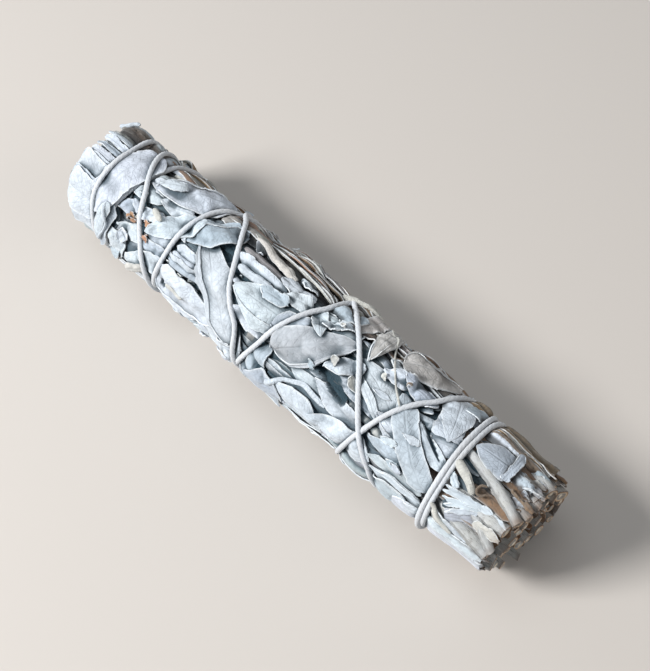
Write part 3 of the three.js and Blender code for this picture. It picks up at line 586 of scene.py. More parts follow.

# %% [markdown]
# ## Leaves on the near side
# These are laid one by one, from the tips to the binding: x and turn of the base, x and turn of
# the tip, width, style and tint.

# %% The leaves of the near side
NEAR = [
    # the tips
    (-66, -42, -90, -38, 8, "flat", "g"), (-64, 98, -87, 94, 13, "flat", "b"),
    (-66, 85, -85, 85, 10, "flat", "w"), (-66, 34, -90, 32, 9, "flat", "w"),
    (-68, 47, -89, 46, 6, "flat", "b"), (-66, 66, -88.5, 61, 14, "flat", "w"),
    # behind the first crossing
    (-48, -42, -66, -36, 8, "flat", "t"), (-44, -12, -58, -22, 9, "wavy", "b"),
    (-50, 70, -67, 80, 9, "flat", "b"), (-44, 82, -62, 94, 11, "flat", "w"),
    (-60, 90, -69, 70, 8, "flat", "w"), (-50, 52, -66, 62, 6, "fold", "w"),
    (-58, 30, -69, 42, 6, "fold", "b"), (-56, 8, -67, 22, 6, "wavy", "w"),
    (-54, -16, -65, -6, 5, "roll", "g"), (-54, 0, -65.5, 1, 5, "fold", "w"),
    (-46, 2, -57, 12, 6, "flat", "w"), (-44, 36, -57, 40, 8, "flat", "w"), (-44, 55, -56, 60, 6, "flat", "b"),
    (-43, 70, -55, 72, 8, "flat", "w"), (-60, 60, -63, 75, 4, "curl", "w"),
    (-46, -28, -60, -8, 5, "fold", "w"), (-57, 40, -64, 28, 3.5, "roll", "w"),
    (-52, 24, -60, 34, 4, "wavy", "w"), (-50, 82, -58, 96, 4, "roll", "c"),
    # between the first and second crossings
    (-14, -60, -42, -58, 10, "flat", "t"), (-4, -46, -36, -46, 9, "wavy", "t"),
    (-30, -38, -46, -30, 6, "wavy", "g"), (-18, -34, -38, -30, 4, "roll", "t"),
    (-22, -28, -40, -20, 3.5, "fold", "t"), (-8, -36, -24, -40, 4, "fold", "w"),
    (-28, 50, -44, 52, 8, "flat", "b"), (-34, 36, -43, 36, 3.5, "fold", "w"),
    (-33, 42, -43, 44, 3, "roll", "w"), (-30, 46, -44.5, 47, 1.9, "fold", "w"),
    (-28, 50, -43, 52, 1.8, "roll", "b"), (-31, 55, -44, 56, 1.9, "fold", "c"),
    (-29, 60, -42, 61, 1.8, "fold", "w"), (-32, 66, -44, 66, 2.0, "roll", "w"),
    (-28, 71, -41, 71, 1.7, "fold", "b"), (-8, 82, -24, 86, 13, "flat", "w"),
    (-46, 75, -19.8, 75, 14, "flat", "w"), (-12, 80, -42, 0, 10.5, "flat", "w"),
    (-29, -22, -44.5, 28, 9, "flat", "b"), (-4, -9, -26, -8, 5, "roll", "t"),
    (-6, 0, -27, 1, 3.2, "fold", "w"), (-10, 8, -24, 10, 4, "roll", "w"), (-14, 22, -23, 20, 3, "fold", "w"),
    (0, 45, -17, 46, 8, "flat", "w"), (7, 20, -19, 27, 13.5, "flat", "w"),
    (-27, -35, -21, -13, 3, "fold", "w"), (-3, -27, -16, -30, 4, "fold", "w"),
    (2, -12, -10, -6, 6, "crumple", "w"), (0, -22, -7, -24, 5, "crumple", "w"),
    (4, -2, -6, 4, 5, "crumple", "w"), (-2, 10, -12, 14, 4, "wavy", "b"),
    # the middle
    (12, -60, -6, -56, 10, "flat", "t"), (30, -42, 10, -38, 8, "flat", "t"), (-2, 95, 0, 52, 7, "flat", "b"),
    (24, 75, 4, 80, 8, "flat", "w"), (12, 88, -5, 98, 11, "flat", "b"), (46, 30, 24.5, 3, 11, "flat", "w"),
    (38, 58, 17.5, 46, 7, "flat", "w"), (44, 77, 22, 74, 10, "flat", "w"), (20, -18, 12, 8, 5, "flat", "g"),
    (28, 8, 18.5, 30, 6, "wavy", "w"), (-2, 32, 15, 8, 11, "flat", "b"), (1, 53, 21.5, -5, 11.5, "flat", "m"),
    (4, -12, 12.3, 14, 5, "fold", "w"), (17, -18, 9.5, 4, 3.5, "curl", "w"), (24, -42, 27, 3, 5, "curl", "w"),
    (42, -22, 31, -14, 6, "crumple", "w"), (41, -6, 32, -2, 5, "crumple", "w"),
    (36, -30, 26, -22, 4, "fold", "w"),
    # before the binding
    (46, -38, 30, -30, 8, "flat", "t"), (50, -40, 40, -22, 5, "flat", "g"), (50, -12, 38, -8, 6, "wavy", "b"),
    (58, 38, 39, 31, 8, "flat", "w"), (60, 56, 39, 55, 6, "flat", "b"), (62, 66, 43, 68, 5, "fold", "w"),
    (64, 84, 44, 82, 10, "flat", "w"), (60, 98, 44, 98, 12, "flat", "b"), (64, 8, 53, 20, 7, "flat", "w"),
    (64, 34, 50, 13, 4.5, "flat", "w"), (53, -43, 58.3, 10, 8.5, "flat", "w"),
    (61, -48, 58, -16, 7, "flat", "b"), (63, 60, 41, 2, 7.4, "fold", "b"),
    (60, -64, 44, -60, 10, "flat", "t"),
]
print("by hand:", len(NEAR))

# %% Lay the near side
NARROW = 4.5  # narrower leaves are strips
SHAPES = {(53, -43): "blunt", (63, 60): "strip"}
FOLDED = {  # which margin is folded back, and how much of it
    (-12, 80): (1, 0.22), (-29, -22): (-1, 0.3), (7, 20): (1, 0.3), (1, 53): (-1, 0.15), (46, 30): (1, 0.3),
    (-46, 75): (-1, 0.2), (-66, 34): (1, 0.3), (64, 84): (-1, 0.3), (58, 38): (1, 0.35), (-2, 32): (-1, 0.3),
}
# these keep their height over a hollow
FIRM = {(1, 53), (28, 8), (-12, 80), (-29, -22), (-66, 34), (-68, 47), (-66, 66), (79, 51)}
for turn in np.arange(-46, 29, 9.4):  # the tips dried into narrow strips here, with slits between them
    base, end = turn + rng.uniform(-1, 1), rng.uniform(-91, -88.5)
    row = (-67, base, end, turn + rng.uniform(0, 5), rng.uniform(2.0, 2.8))
    style, tint = rng.choice(["flat", "fold"]), rng.choice(list("wwwb" if turn > -20 else "tcg"))
    lay_leaf(row, style, tint, "blunt", PLAIN, bow=0, firm=True)
for *row, style, tint in NEAR:
    shape = "blunt" if row[2] <= TRIMMED else "strip" if row[4] < NARROW or style == "roll" else "lance"
    base = tuple(row[:2])
    laid = lay_leaf(row, style, tint, SHAPES.get(base, shape), firm=base in FIRM)
    if base in FOLDED:
        fold_margin(laid, *FOLDED[base])
print("with the near side:", len(leaves))

# %% [markdown]
# ## Ruffles on the upper far side
# Here the leaves were folded lengthwise when the thread was pulled, and their margins stand up in long thin
# ruffles with dark furrows between them.

# %% Ruffles
for x in np.arange(-62, 60, 9):
    for turn in (-28, -37, -46, -56, -66, -76):
        start, base = x + rng.uniform(-4, 4), turn + rng.uniform(-3.5, 3.5)
        end = max(start - rng.uniform(16, 27), EVEN_TIPS)
        row = (start, base, end, base + rng.uniform(-5, 5), rng.uniform(2.4, 4.2))
        style, tint = rng.choice(["edge", "fold", "edge", "wavy"]), rng.choice(list("tutncw"))
        lay_leaf(row, style, tint, "strip", COARSE, sink=0.8)
print("with the ruffles:", len(leaves))

# %% [markdown]
# ## Scraps and crumbs
# Bits of broken leaf are caught between the leaves, and a few crumbs of seed husk, orange-brown.

# %% Scraps
CRUMBS = [
    (-62.5, 40, -60, 45, 1.7, "o"), (-61, 47, -59.2, 43, 1.3, "o"), (-61.8, 43, -62.4, 48, 1.2, "o"),
    (-54.6, 51, -53, 47, 1.2, "o"), (-59.5, 38, -58.5, 41, 1.2, "c"), (-55.8, 36, -53.4, 40, 2.2, "o"),
    (-53.8, 49, -52, 53, 1.6, "o"), (-55, 44, -54, 46, 1.0, "o"), (-50, 31, -48.8, 33, 1.0, "c"),
    (41.6, -5, 40.2, -2, 1.3, "n"), (19, 18, 22, 26, 2.0, "c"), (27, 22, 31, 31, 2.2, "c"),
    (13, -10, 15, -6, 1.4, "c"), (33, 2, 34.4, 5, 1.2, "c"),
]
for *row, tint in CRUMBS:
    lay_leaf(row, "crumple", tint, "lance", COARSE)
for n in range(48):
    x, turn = rng.uniform(-64, 58), rng.uniform(-35, 320)
    length, lean = rng.uniform(3, 9), rng.uniform(-0.6, 0.6)
    row = (x, turn, x - length * math.cos(lean), turn + length * math.sin(lean) / ARC, rng.uniform(0.8, 2.2))
    style, tint = rng.choice(["crumple", "fold", "wavy"]), rng.choice(list("wwbwgb"))
    lay_leaf(row, style, tint, "lance", COARSE, sink=0.15)
print("with the scraps:", len(leaves))

# %% [markdown]
# ## Leaves among the stems
# Past the binding the outermost leaves still wrap the roll as far as the cut. On the upper side some are
# gone, and there the stems show, with folded and crumpled leaves lying lower between them.

# %% Past the binding
CUT_END = [
    # smooth leaves on the front flank, edges of leaves on the far one
    (54, 112, 85.2, 109, 11, "flat", "b", 0.3), (54, 98, 86, 98, 8, "flat", "w", 0.3),
    (58, 88, 86, 91, 3.0, "fold", "w", 0.3), (60, -50, 86, -48, 3.2, "fold", "u", 0.2),
    (61, -45, 87, -45, 2.6, "edge", "n", 0.4), (60, -41, 85, -42, 2.6, "fold", "c", 0.5),
    (62, -36, 87, -38, 2.6, "edge", "u", 0.8), (61, -31, 84, -34, 2.4, "fold", "n", 1.0),
    (64, -26, 76, -30, 2.0, "fold", "w", 1.0),
    # low between the stems
    (64, -12, 84, -12, 6, "pleat", "g", 2.2), (66, 18, 82, 24, 5, "crumple", "g", 2.8),
    (68, 56, 84, 60, 5, "crumple", "g", 2.2), (64, 10, 72, 15, 2.4, "fold", "w", 0.9),
    (66, 31, 77, 30, 2.2, "fold", "w", 1.2), (68, -1, 76, 3, 2.4, "fold", "b", 1.0),
    # frayed at the rim
    (79, -19, 88.5, -13, 1.6, "fold", "w", 0.1), (78, -16, 90, -9, 1.7, "fold", "w", 0.1),
    (78, -12, 88.5, -7, 1.6, "fold", "b", 0.3), (79, -6, 86, -5, 4.0, "wavy", "b", 0.6),
    (81, 3, 90, 8, 3.0, "roll", "n", 0.5), (70, 35, 64, 29, 2.2, "crumple", "w", 0.2),
    # slips and crumbs beside the gathered leaf
    (82, 45, 71, 66, 6, "flat", "m", 0.6),
    (64, 65, 80, 77, 2.2, "fold", "w", 0.2), (70, 80, 65, 66, 2.4, "fold", "c", 0.2),
    (79, 51, 88, 50, 3.2, "crumple", "c", 0.2), (66, 83, 86, 85, 2.6, "fold", "w", 0.4),
]
for *row, style, tint, sink in CUT_END:
    shape = "strip" if row[4] < NARROW else "blunt"
    lay_leaf(row, style, tint, shape, FINE, sink=sink, firm=tuple(row[:2]) in FIRM)
print("past the binding:", len(CUT_END), "leaves")

# %% A gathered leaf and a bent one
GATHERED = [  # the pleats of one leaf, drawn together towards the cut
    (79, 41, 70.5, 60.5, 1.5), (79.5, 39, 69, 55, 1.5), (80.5, 37.5, 67.5, 50, 1.6),
    (82, 36.5, 66.5, 45.5, 1.5), (83, 35.5, 66, 40.5, 1.5), (78, 35, 87.6, 37, 2.2),
]
for row in GATHERED:
    lay_leaf(row, "fold", "w", "strip", FINE, laid=False, sink=0.1, firm=True)
bent = lay_leaf((79.4, -14, 65.5, -5, 11), "flat", "b", "lance", FINE, bow=0.02, sink=0.1, firm=True)
own_tip = lay_leaf((76.6, -31, 78.2, 5, 2.7), "flat", "b", "blunt", FINE, bow=0.04, sink=-0.3, firm=True)
for laid in (bent, own_tip):  # both are stiff, and lie nearly straight
    laid["h"] = 0.35 * laid["h"] + 0.65 * np.percentile(laid["h"], 70)
print("pleats:", len(GATHERED))

# %% The ragged rim of the cut
SHORTEST, SHORTEST_TURN = 2.4, 140  # low on the front, the bunch is cut this much shorter
BROWN_FROM, NARROW_FROM = 250, 262  # from these turns on, the far side's brown and narrow edges begin


def cut_back(turn):
    """How much shorter the bunch is cut at a turn, in mm."""
    return SHORTEST * max(0.0, math.cos(math.radians(turn - SHORTEST_TURN)))


for turn in (-34, -27, -20, -13, -6, 1, 8, 86, 94, 101, 108):  # torn bits
    start, base, end = rng.uniform(80, 84), turn + rng.uniform(-4, 4), rng.uniform(86.5, 90) - cut_back(turn)
    row = (start, base, end, turn + rng.uniform(-6, 6), rng.uniform(1.0, 2.4))
    style, tint = rng.choice(["fold", "edge", "wavy"]), rng.choice(list("wcnwtb"))
    lay_leaf(row, style, tint, "strip", COARSE, sink=rng.uniform(0.3, 1.4))
for turn in np.arange(124, 314, 8.5):  # leaves that still wrap the roll
    start, base, end = rng.uniform(50, 56), turn + rng.uniform(-3, 3), rng.uniform(84, 88.5) - cut_back(turn)
    widths = (4, 9) if turn < NARROW_FROM else (2.5, 4)
    row = (start, base, end, turn + rng.uniform(-6, 6), rng.uniform(*widths))
    style = rng.choice(["flat", "fold", "flat"] if turn < NARROW_FROM else ["edge", "fold", "wavy"])
    tint = rng.choice(list("wbgmt" if turn < BROWN_FROM else "tuncu"))
    lay_leaf(row, style, tint, "blunt", PLAIN, sink=rng.uniform(0.1, 0.7))
print("with the cut end:", len(leaves))

# %% [markdown]
# ## The last leaves
# A few broad leaves were tucked in last. They lie over all the others, and only the thread goes over them.

# %% Broad leaves
BROAD = [
    (-41, -44, -61, 6, 12.5, "wavy", "w", -1, 0.15), (-53, -12, -61, 1, 3.5, "wavy", "w", 0, 0),
    (33.5, -22, 49, -54, 12, "flat", "s", 1, 0.2), (24.5, -58, 27.3, 0, 6.5, "flat", "s", 1, 0.3),
    (-7, -15, -26, -23, 5, "roll", "s", 0, 0), (-40, 0, -54.5, 46, 8, "flat", "w", 0, 0),
    (19, -58, 17, -14, 6.5, "flat", "s", 0, 0), (17, -34, 6, -16, 5, "flat", "b", 0, 0),
    (50.5, -44, 59.5, 11, 9.5, "flat", "w", 0, 0), (61.5, -46, 55.5, -26, 6, "flat", "b", 0, 0),
]
for *row, style, tint, side, share in BROAD:
    laid = lay_leaf(row, style, tint, "lance", FINE, sink=0.4, firm=True)
    if side:
        fold_margin(laid, side, share)
print("with the broad leaves:", len(leaves))

# %% [markdown]
# ## Pressing the roll
# So far each leaf only knows how many leaves lie below it. Now the pile is set on the roll's form: what the
# layers add over a wide area is pressed flat, and what they add at a leaf's edge stays. From here on the
# map holds true radii.

# %% Press
PRESS = 0.8
pile = blurred(top, 4.5)
HOLES = [  # x and turn of the middle, half length, half width, lean, depth
    (22, 35, 9.5, 3.0, 0.45, 2.8), (-29.5, 7, 3.2, 4.0, 0.0, 2.6), (-42, 81, 1.5, 1.5, 0, 2.2),
    (27, 83, 3.5, 1.0, 0, 2), (-20, 19, 3.5, 0.9, 0, 2), (-11, -21, 5.5, 0.8, 0, 2),
    (56, 20, 6.5, 0.8, 0.5, 1.3), (76, 25, 4.5, 1.5, 0.1, 2.2), (65, -8, 1.3, 2.5, 0, 1.2),
    (-84, -8, 15, 13, 0, 1.5), (80, 68, 6, 3.0, 0.25, 1.8), (82, 1, 5, 1.2, 0.3, 2.0),
    (67, 8, 6, 2.0, 0.3, 1.2),
]


def hollow(x, turn):
    """How much deeper the roll is open at a place, in mm: between some leaves one looks far down."""
    total = np.zeros(x.shape)
    for hole_x, hole_turn, long, wide, lean, depth in HOLES:
        dx, ds = x - hole_x, apart(turn, hole_turn)
        a, b = dx * math.cos(lean) + ds * math.sin(lean), ds * math.cos(lean) - dx * math.sin(lean)
        total = np.maximum(total, depth * np.clip(3.0 - 3.0 * ((a / long) ** 2 + (b / wide) ** 2), 0, 1))
    return total


for leaf in leaves:
    x, turn = leaf["x"], leaf["turn"]
    leaf["hollow"] = 0.0 if leaf["firm"] else hollow(x, turn)
    raised = PRESS * (leaf["h"] - read(pile, x, turn)) + PRESS * leaf["rise"]
    leaf["r"] = read(form, x, turn) + raised - leaf["sink"] - leaf["hollow"]
top = form + PRESS * (top - pile)
print("pressed radius: %.1f to %.1f mm" % (top.min(), top.max()))

# %% [markdown]
# ## The thread
# Soft cotton string, pulled tight by hand. It spans the hollows and sinks into what stands high, and the
# leaves below it give way and bulge up beside it. It goes out to the tips first. Three leaves are tucked in
# there, and on its way back it crosses itself and holds them down.

# %% Lay the thread on the map
HALF_THREAD = THREAD / 2
STIFF = 45  # over this many degrees of turn the thread keeps nearly straight
TIP_WRAP = [
    (-69, 44, -72.5, 106, 7, "flat", "b"), (-69, -27, -74.8, 64, 11.5, "flat", "w"),
    (-69, 45, -72, 92, 3.5, "fold", "w"),
]


def pull_tight(xs, turns):
    """The radius of the thread's middle along a route: it spans hollows and bites into what stands high."""
    lying = np.zeros(len(xs))
    for across in np.linspace(-0.8, 0.8, 5):
        touching = read(top, xs + across * HALF_THREAD, turns) + HALF_THREAD * math.sqrt(1 - across**2)
        lying = np.maximum(lying, touching - 0.25)
    window = np.hanning(STIFF) / np.hanning(STIFF).sum()
    tight = lying
    for _ in range(3):
        tight = np.convolve(np.pad(np.maximum(tight, lying - 0.5), STIFF // 2, mode="edge"), window, "valid")
    return tight


def bite(xs, turns, r):
    """How far the leaves below a route are pushed in, and beside it, where they bulge up again."""
    ceiling = np.full((COLUMNS, ROWS), 99.0)
    di, dj = cells_around(3.6)
    for x, turn, high, i, j in zip(xs, turns, r, *cells(xs, turns)):
        near = np.clip(i + di, 0, COLUMNS - 1), (j + dj) % ROWS
        off = np.hypot(grid_x[near] - x, apart(grid_turn[near], turn))
        under = high - 0.85 * np.sqrt(np.maximum(HALF_THREAD**2 - off**2, 0))
        beside = high + (off - HALF_THREAD) * 1.1
        ceiling[near] = np.minimum(ceiling[near], np.where(off < HALF_THREAD, under, beside))
    return blurred(np.maximum(top - ceiling, 0), 0.35)


def bind(xs, turns):
    """Lays the thread one way: it is pulled tight, the leaves give way, and the map rises where it lies."""
    r = pull_tight(xs, turns)
    pushed = bite(xs, turns, r)
    top[:] = top - pushed
    for across in np.linspace(-1, 1, 9):
        over = r + HALF_THREAD * math.sqrt(max(0, 1 - across**2))
        np.maximum.at(top, cells(xs + across * HALF_THREAD, turns), over)
    for leaf in leaves:
        leaf["r"] = leaf["r"] - read(pushed, leaf["x"], leaf["turn"])
    return r


out_r = bind(out_x, out_turn)
for *row, style, tint in TIP_WRAP:
    leaf = lay_leaf(row, style, tint, "strip")
    leaf["r"] = leaf["h"] + leaf["rise"]
back_r = bind(back_x, back_turn)
thread_middle = np.concatenate([place(out_x, out_turn, out_r), place(back_x, back_turn, back_r)[1:]])
steps = np.linalg.norm(np.diff(thread_middle, axis=0), axis=1)
print("thread: %.2f m" % (steps.sum() * MM))

# %% [markdown]
# ## From numbers to meshes
# A sprig is one object made of many small closed bodies. Joining a thousand objects would be slow, so the
# bodies are joined as numbers, and the mesh is made once. Each point also carries what the materials read
# there: the leaf's tint, how near it is to the margin and the midrib, and how deep it lies, which sets how
# much painted shade darkens it.


# %% Make meshes from many parts
def mesh_piece(name, parts, materials, replaced):
    """One object from parts: each has points in mm, faces, and a number or colour for each point."""
    faces, kinds, start = [], [], 0
    for part in parts:
        faces += [tuple(int(i) + start for i in face) for face in part["faces"]]
        kinds += part.get("kind", [0] * len(part["faces"]))
        start += len(part["points"])
    mesh = bpy.data.meshes.new(name)
    flat = np.concatenate([part["points"] for part in parts]) * MM
    flat[:, 2] = np.maximum(flat[:, 2], 0.00002)  # nothing goes below the floor
    mesh.from_pydata(flat.tolist(), [], faces)
    uv = np.concatenate([part["uv"] for part in parts])
    corner = np.zeros(len(mesh.loops), int)
    mesh.loops.foreach_get("vertex_index", corner)
    mesh.uv_layers.new(name="surface").data.foreach_set("uv", uv[corner].astype(np.float32).ravel())
    for key in (key for key in parts[0] if key not in ("points", "faces", "uv", "kind")):
        data = np.concatenate([part[key] for part in parts]).astype(np.float32)
        if data.ndim == 2:
            attribute = mesh.attributes.new(key, "FLOAT_COLOR", "POINT")
            attribute.data.foreach_set("color", np.c_[data, np.ones(len(data), np.float32)].ravel())
        else:
            attribute = mesh.attributes.new(key, "FLOAT", "POINT")
            attribute.data.foreach_set("value", data)
    for material in materials:
        mesh.materials.append(material)
    mesh.polygons.foreach_set("material_index", np.array(kinds, np.int32))
    mesh.polygons.foreach_set("use_smooth", np.ones(len(mesh.polygons), bool))
    mesh.update()
    mesh.set_sharp_from_angle(angle=math.radians(48))
    piece = bpy.data.objects.new(name, mesh)
    bpy.context.scene.collection.objects.link(piece)
    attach(piece, "root")
    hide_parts(*replaced)
    return piece


print("pieces to make:", 2 * (RING_SPRIGS + HEART_SPRIGS) + 1)


def unit(vectors):
    return vectors / np.maximum(np.linalg.norm(vectors, axis=-1, keepdims=True), 1e-9)


def out_of_roll(points):
    """From the roll's axis to the points, straight outwards."""
    return points * (0, 1, 1) - AXIS * (0, 1, 1)


# %% Turn the laid leaves into bodies
surface = blurred(top, 1.0)


def leaf_part(leaf, thick=LEAF * PRESS, deep=None):
    """A leaf's sheet as a closed body. Its margins lift a little wherever nothing lies on them."""
    x, turn, r, blade = leaf["x"], leaf["turn"], leaf["r"], leaf["blade"]
    u, v, i, j = blade["u"], blade["v"], blade["i"], blade["j"]
    shown = np.clip(1 - (read(top, x, turn) - r - thick) / 0.3, 0, 1)
    for _ in range(2):
        shown = np.minimum(shown, neighbours(shown) / 4)
    wave = 0.5 + 0.9 * ripple(u, blade["sides"], leaf["seed"] + 2, 3.0)
    lift = leaf["rim"] * (np.abs(v) ** 5 * wave + np.clip(u - 0.85, 0, 1) * 2)
    r = r + shown * np.clip(lift, 0, 0.8)
    # painted shade: how far the surface above covers the leaf, and how deep it lies in a hollow, set how dark
    # it is painted
    if deep is None:
        covered = np.clip((read(surface, x, turn) - r - thick) / 1.7, 0, 1)
        deep = (covered + 0.08 * leaf["hollow"])[i, j]
    points = place(x, turn, r)
    normal = unit(np.cross(np.gradient(points, axis=0), np.gradient(points, axis=1)))
    normal = unit(normal + 0.15 * unit(out_of_roll(points)))
    seed, length, width = leaf["seed"], leaf["length"], leaf["width"]
    along, across = u * length / 10 + seed % 11, v * width / 20 + 3 * (seed % 7)
    return {
        "points": points[i, j] + normal[i, j] * (blade["up"] * thick)[:, None],
        "faces": blade["faces"],
        "uv": np.stack([along[i, j], across[i, j]], axis=1),
        "tint": np.ones((len(i), 1)) * np.clip(leaf["tint"], 0, 1)[None, :],
        "edge": np.abs(v[i, j]),
        "mid": np.abs(v[i, j]) * width / 2,
        "deep": deep * np.ones(len(i)),
    }


sprig_parts = {k: [] for k in range(RING_SPRIGS + HEART_SPRIGS)}
for leaf in leaves:
    sprig_parts[leaf["sprig"]].append(leaf_part(leaf))
print("leaves in each sprig:", [len(parts) for parts in sprig_parts.values()])

# %% [markdown]
# ## The heart of the roll
# Deep between the leaves there is only crumpled leaf in shade. Each sprig has a wedge of it, closed on
# all sides, so that nothing shines through, and painted shade colours it almost wholly. At the ends the
# wedges stop short, and curved leaves in rings, each overlapping the next, stand out beyond them, a little
# darkened with painted shade.

# %% Wedges
WEDGE_FROM, WEDGE_TO, WEDGE_RINGS = -80, 76, 70
HEART_SIDE, HEART_ROUND = 7.4, 7.3  # where the outer wedges begin and the heart's end


def plain_fields(count, tint, mid, deep):
    """What the leaf material reads, the same at every point of a part without veins."""
    return {
        "tint": np.ones((count, 1)) * np.array(TINTS[tint])[None, :],
        "edge": np.zeros(count),
        "mid": np.full(count, mid),
        "deep": np.full(count, deep),
    }


def wedge_part(low, high, inner, outer_of, seed):
    """A closed wedge of the roll, between two turns and two radii, with a crumpled outside."""
    rings = []
    for n, x in enumerate(np.linspace(WEDGE_FROM, WEDGE_TO, WEDGE_RINGS)):
        ring = []
        for m, turn in enumerate(np.linspace(low, high, 6)):
            bump = 0.5 * math.sin(n * 2.3 + m * 1.9 + seed) * math.sin(n * 0.9 + seed * 2.0)
            ring.append((x, turn, outer_of(x, turn) + bump))
        ring += [(x, high, inner), (x, low, inner)] if inner else [(x, (low + high) / 2, 0.3)]
        rings.append(ring)
    n = len(rings[0])
    flat = np.array(rings).reshape(-1, 3)
    faces = []
    for start in range(0, len(flat) - n, n):
        for b in range(n):
            c = (b + 1) % n
            faces.append((start + b, start + n + b, start + n + c, start + c))
    faces += [tuple(range(n)), tuple(range(len(flat) - n, len(flat)))[::-1]]
    return {
        "points": place(flat[:, 0], flat[:, 1], flat[:, 2]),
        "faces": faces,
        "uv": np.stack([flat[:, 0] / 10, flat[:, 1] * ARC / 10], axis=1),
        # painted shade: this depth gives the wedge the full shade colour
        **plain_fields(len(flat), "g", 5.0, 0.9),
    }


def core_radius(x, turn):
    """Well below the leaves, and lower still past the binding, where the stems come out."""
    below = read(form, np.array([x]), np.array([turn]))[0] - 2.95
    return float(min(below, 14.8 if x < 60 else 11.4))


for k in range(RING_SPRIGS):
    low = FIRST_MIDDLE + RING_TURN * (k - 0.5)
    sprig_parts[k].append(wedge_part(low, low + RING_TURN, HEART_SIDE, core_radius, k))
for k in range(HEART_SPRIGS):
    low = HEART_TURN * k
    wedge = wedge_part(low, low + HEART_TURN, 0, lambda x, turn: HEART_ROUND, k + 20)
    sprig_parts[RING_SPRIGS + k].append(wedge)
print("wedges:", RING_SPRIGS + HEART_SPRIGS)


# %% Rings of leaves inside both ends
def ring_leaf(x0, x1, turn, r, width, lean, tint):
    """A leaf that follows a ring round the axis, from inside the roll out to one end."""
    u, v = COARSE["u"], COARSE["v"]
    seed = int(rng.integers(1, 1 << 30))
    half = 0.5 * width * outline(0.1 + 0.9 * u, "blunt") * (1 + 0.1 * ripple(u, v, seed + 5, 2.0))
    lift = lean * v + 0.5 * ripple(u, v, seed, 2.0)
    spread = v * half / (math.radians(1) * max(r, 1.2))
    return {
        "x": x0 + (x1 - x0) * u + 0.4 * ripple(u, v, seed + 3, 1.0),
        "turn": turn + np.sign(x1 - x0) * spread,
        "r": np.maximum(r + lift, 0.4),
        "blade": COARSE, "seed": seed, "tint": np.array(TINTS[tint]) * rng.uniform(0.85, 1.05),
        "length": abs(x1 - x0), "width": width, "rim": 0,
    }


def fill_end(x0, reach, radii, inner_tints, outer_tints, spread, widest):
    """Rings of leaves from x0 out to one end, more or less ragged by spread."""
    made = 0
    for r in radii:
        # painted shade: the ring leaves are darkened a little, the outer rings a bit more
        tints, deep = (inner_tints, 0.12) if r < 12.5 else (outer_tints, 0.16)
        count = max(2, int(2 * math.pi * r / 6.5))
        for n in range(count):
            turn = 360 * (n + rng.uniform(-0.2, 0.2)) / count + r * 40
            width = 2 * math.pi * r / count * rng.uniform(1.1, 1.5)
            x1 = reach + rng.uniform(-spread, spread) - (cut_back(turn) if reach > 0 else 0)
            lean, tint = rng.uniform(-1.3, 1.3), rng.choice(list(tints))
            leaf = ring_leaf(x0, x1, turn, r, min(width, widest), lean, tint)
            sprig_parts[sprig_at(turn, r)].append(leaf_part(leaf, 0.36, deep))
            made += 1
    return made


at_tips = fill_end(-60, -88.6, np.arange(1.3, 16.0, 1.05), "wwbbgm", "wwbbgm", 1.6, 9)
at_stems = fill_end(60, 86.7, np.arange(2.6, 15.6, 1.15), "uuuuon", "untuc", 1.7, 5.5)
print("leaves at the tips' end:", at_tips, "and at the stems' end:", at_stems)

# %% [markdown]
# ## Quills and fibres
# A few strips of leaf have rolled up into quills, and a dry fibre lies across. Each is a thin closed tube
# that follows the top of the leaves.


# %% Quills
def tube(line, size, angle, flatness=1.0):
    """A closed tube round a line on the roll: its points, ring by ring, and its faces."""
    tangent = unit(np.gradient(line, axis=0))
    side = unit(np.cross(tangent, out_of_roll(line)))
    up = np.cross(side, tangent)
    aside, over = (size * np.cos(angle))[..., None], (size * np.sin(angle))[..., None]
    points = line[:, None] + side[:, None] * aside + up[:, None] * over * flatness
    n, sides = size.shape
    a, b = np.meshgrid(np.arange(n - 1), np.arange(sides), indexing="ij")
    c = (b + 1) % sides
    quads = np.stack([a * sides + b, a * sides + c, (a + 1) * sides + c, (a + 1) * sides + b], axis=-1)
    ends = [list(range(sides))[::-1], list(range((n - 1) * sides, n * sides))]
    return {"points": points.reshape(-1, 3), "faces": quads.reshape(-1, 4).tolist() + ends}


def quill(course, radius, tint, rise=0.5):
    course = np.array(course, float)
    length = np.hypot(np.diff(course[:, 0]), np.diff(course[:, 1]) * ARC).sum()
    fine = np.linspace(0, len(course) - 1, max(10, int(length * 1.4)))
    x, turn = (np.interp(fine, np.arange(len(course)), course[:, n]) for n in range(2))
    r = eased(read(top, x, turn) + rise * radius)
    sides = 9
    angle = np.linspace(0, 2 * math.pi, sides, endpoint=False)
    uneven = radius * (1 + 0.12 * np.sin(fine * 3.1 + angle[:, None] * 2).T)
    size = uneven * np.minimum(1, 0.5 + np.minimum(fine, fine[-1] - fine) * 3)[:, None]
    size[:, 0] *= 1.25  # the free margin of the rolled strip
    part = tube(place(eased(x), eased(turn), r), size, angle)
    part["uv"] = np.stack([np.repeat(fine, sides), np.tile(angle / 6, len(fine))], axis=1)
    sprig_parts[sprig_at(course[0, 1])].append({**part, **plain_fields(len(part["points"]), tint, 3.0, 0.0)})


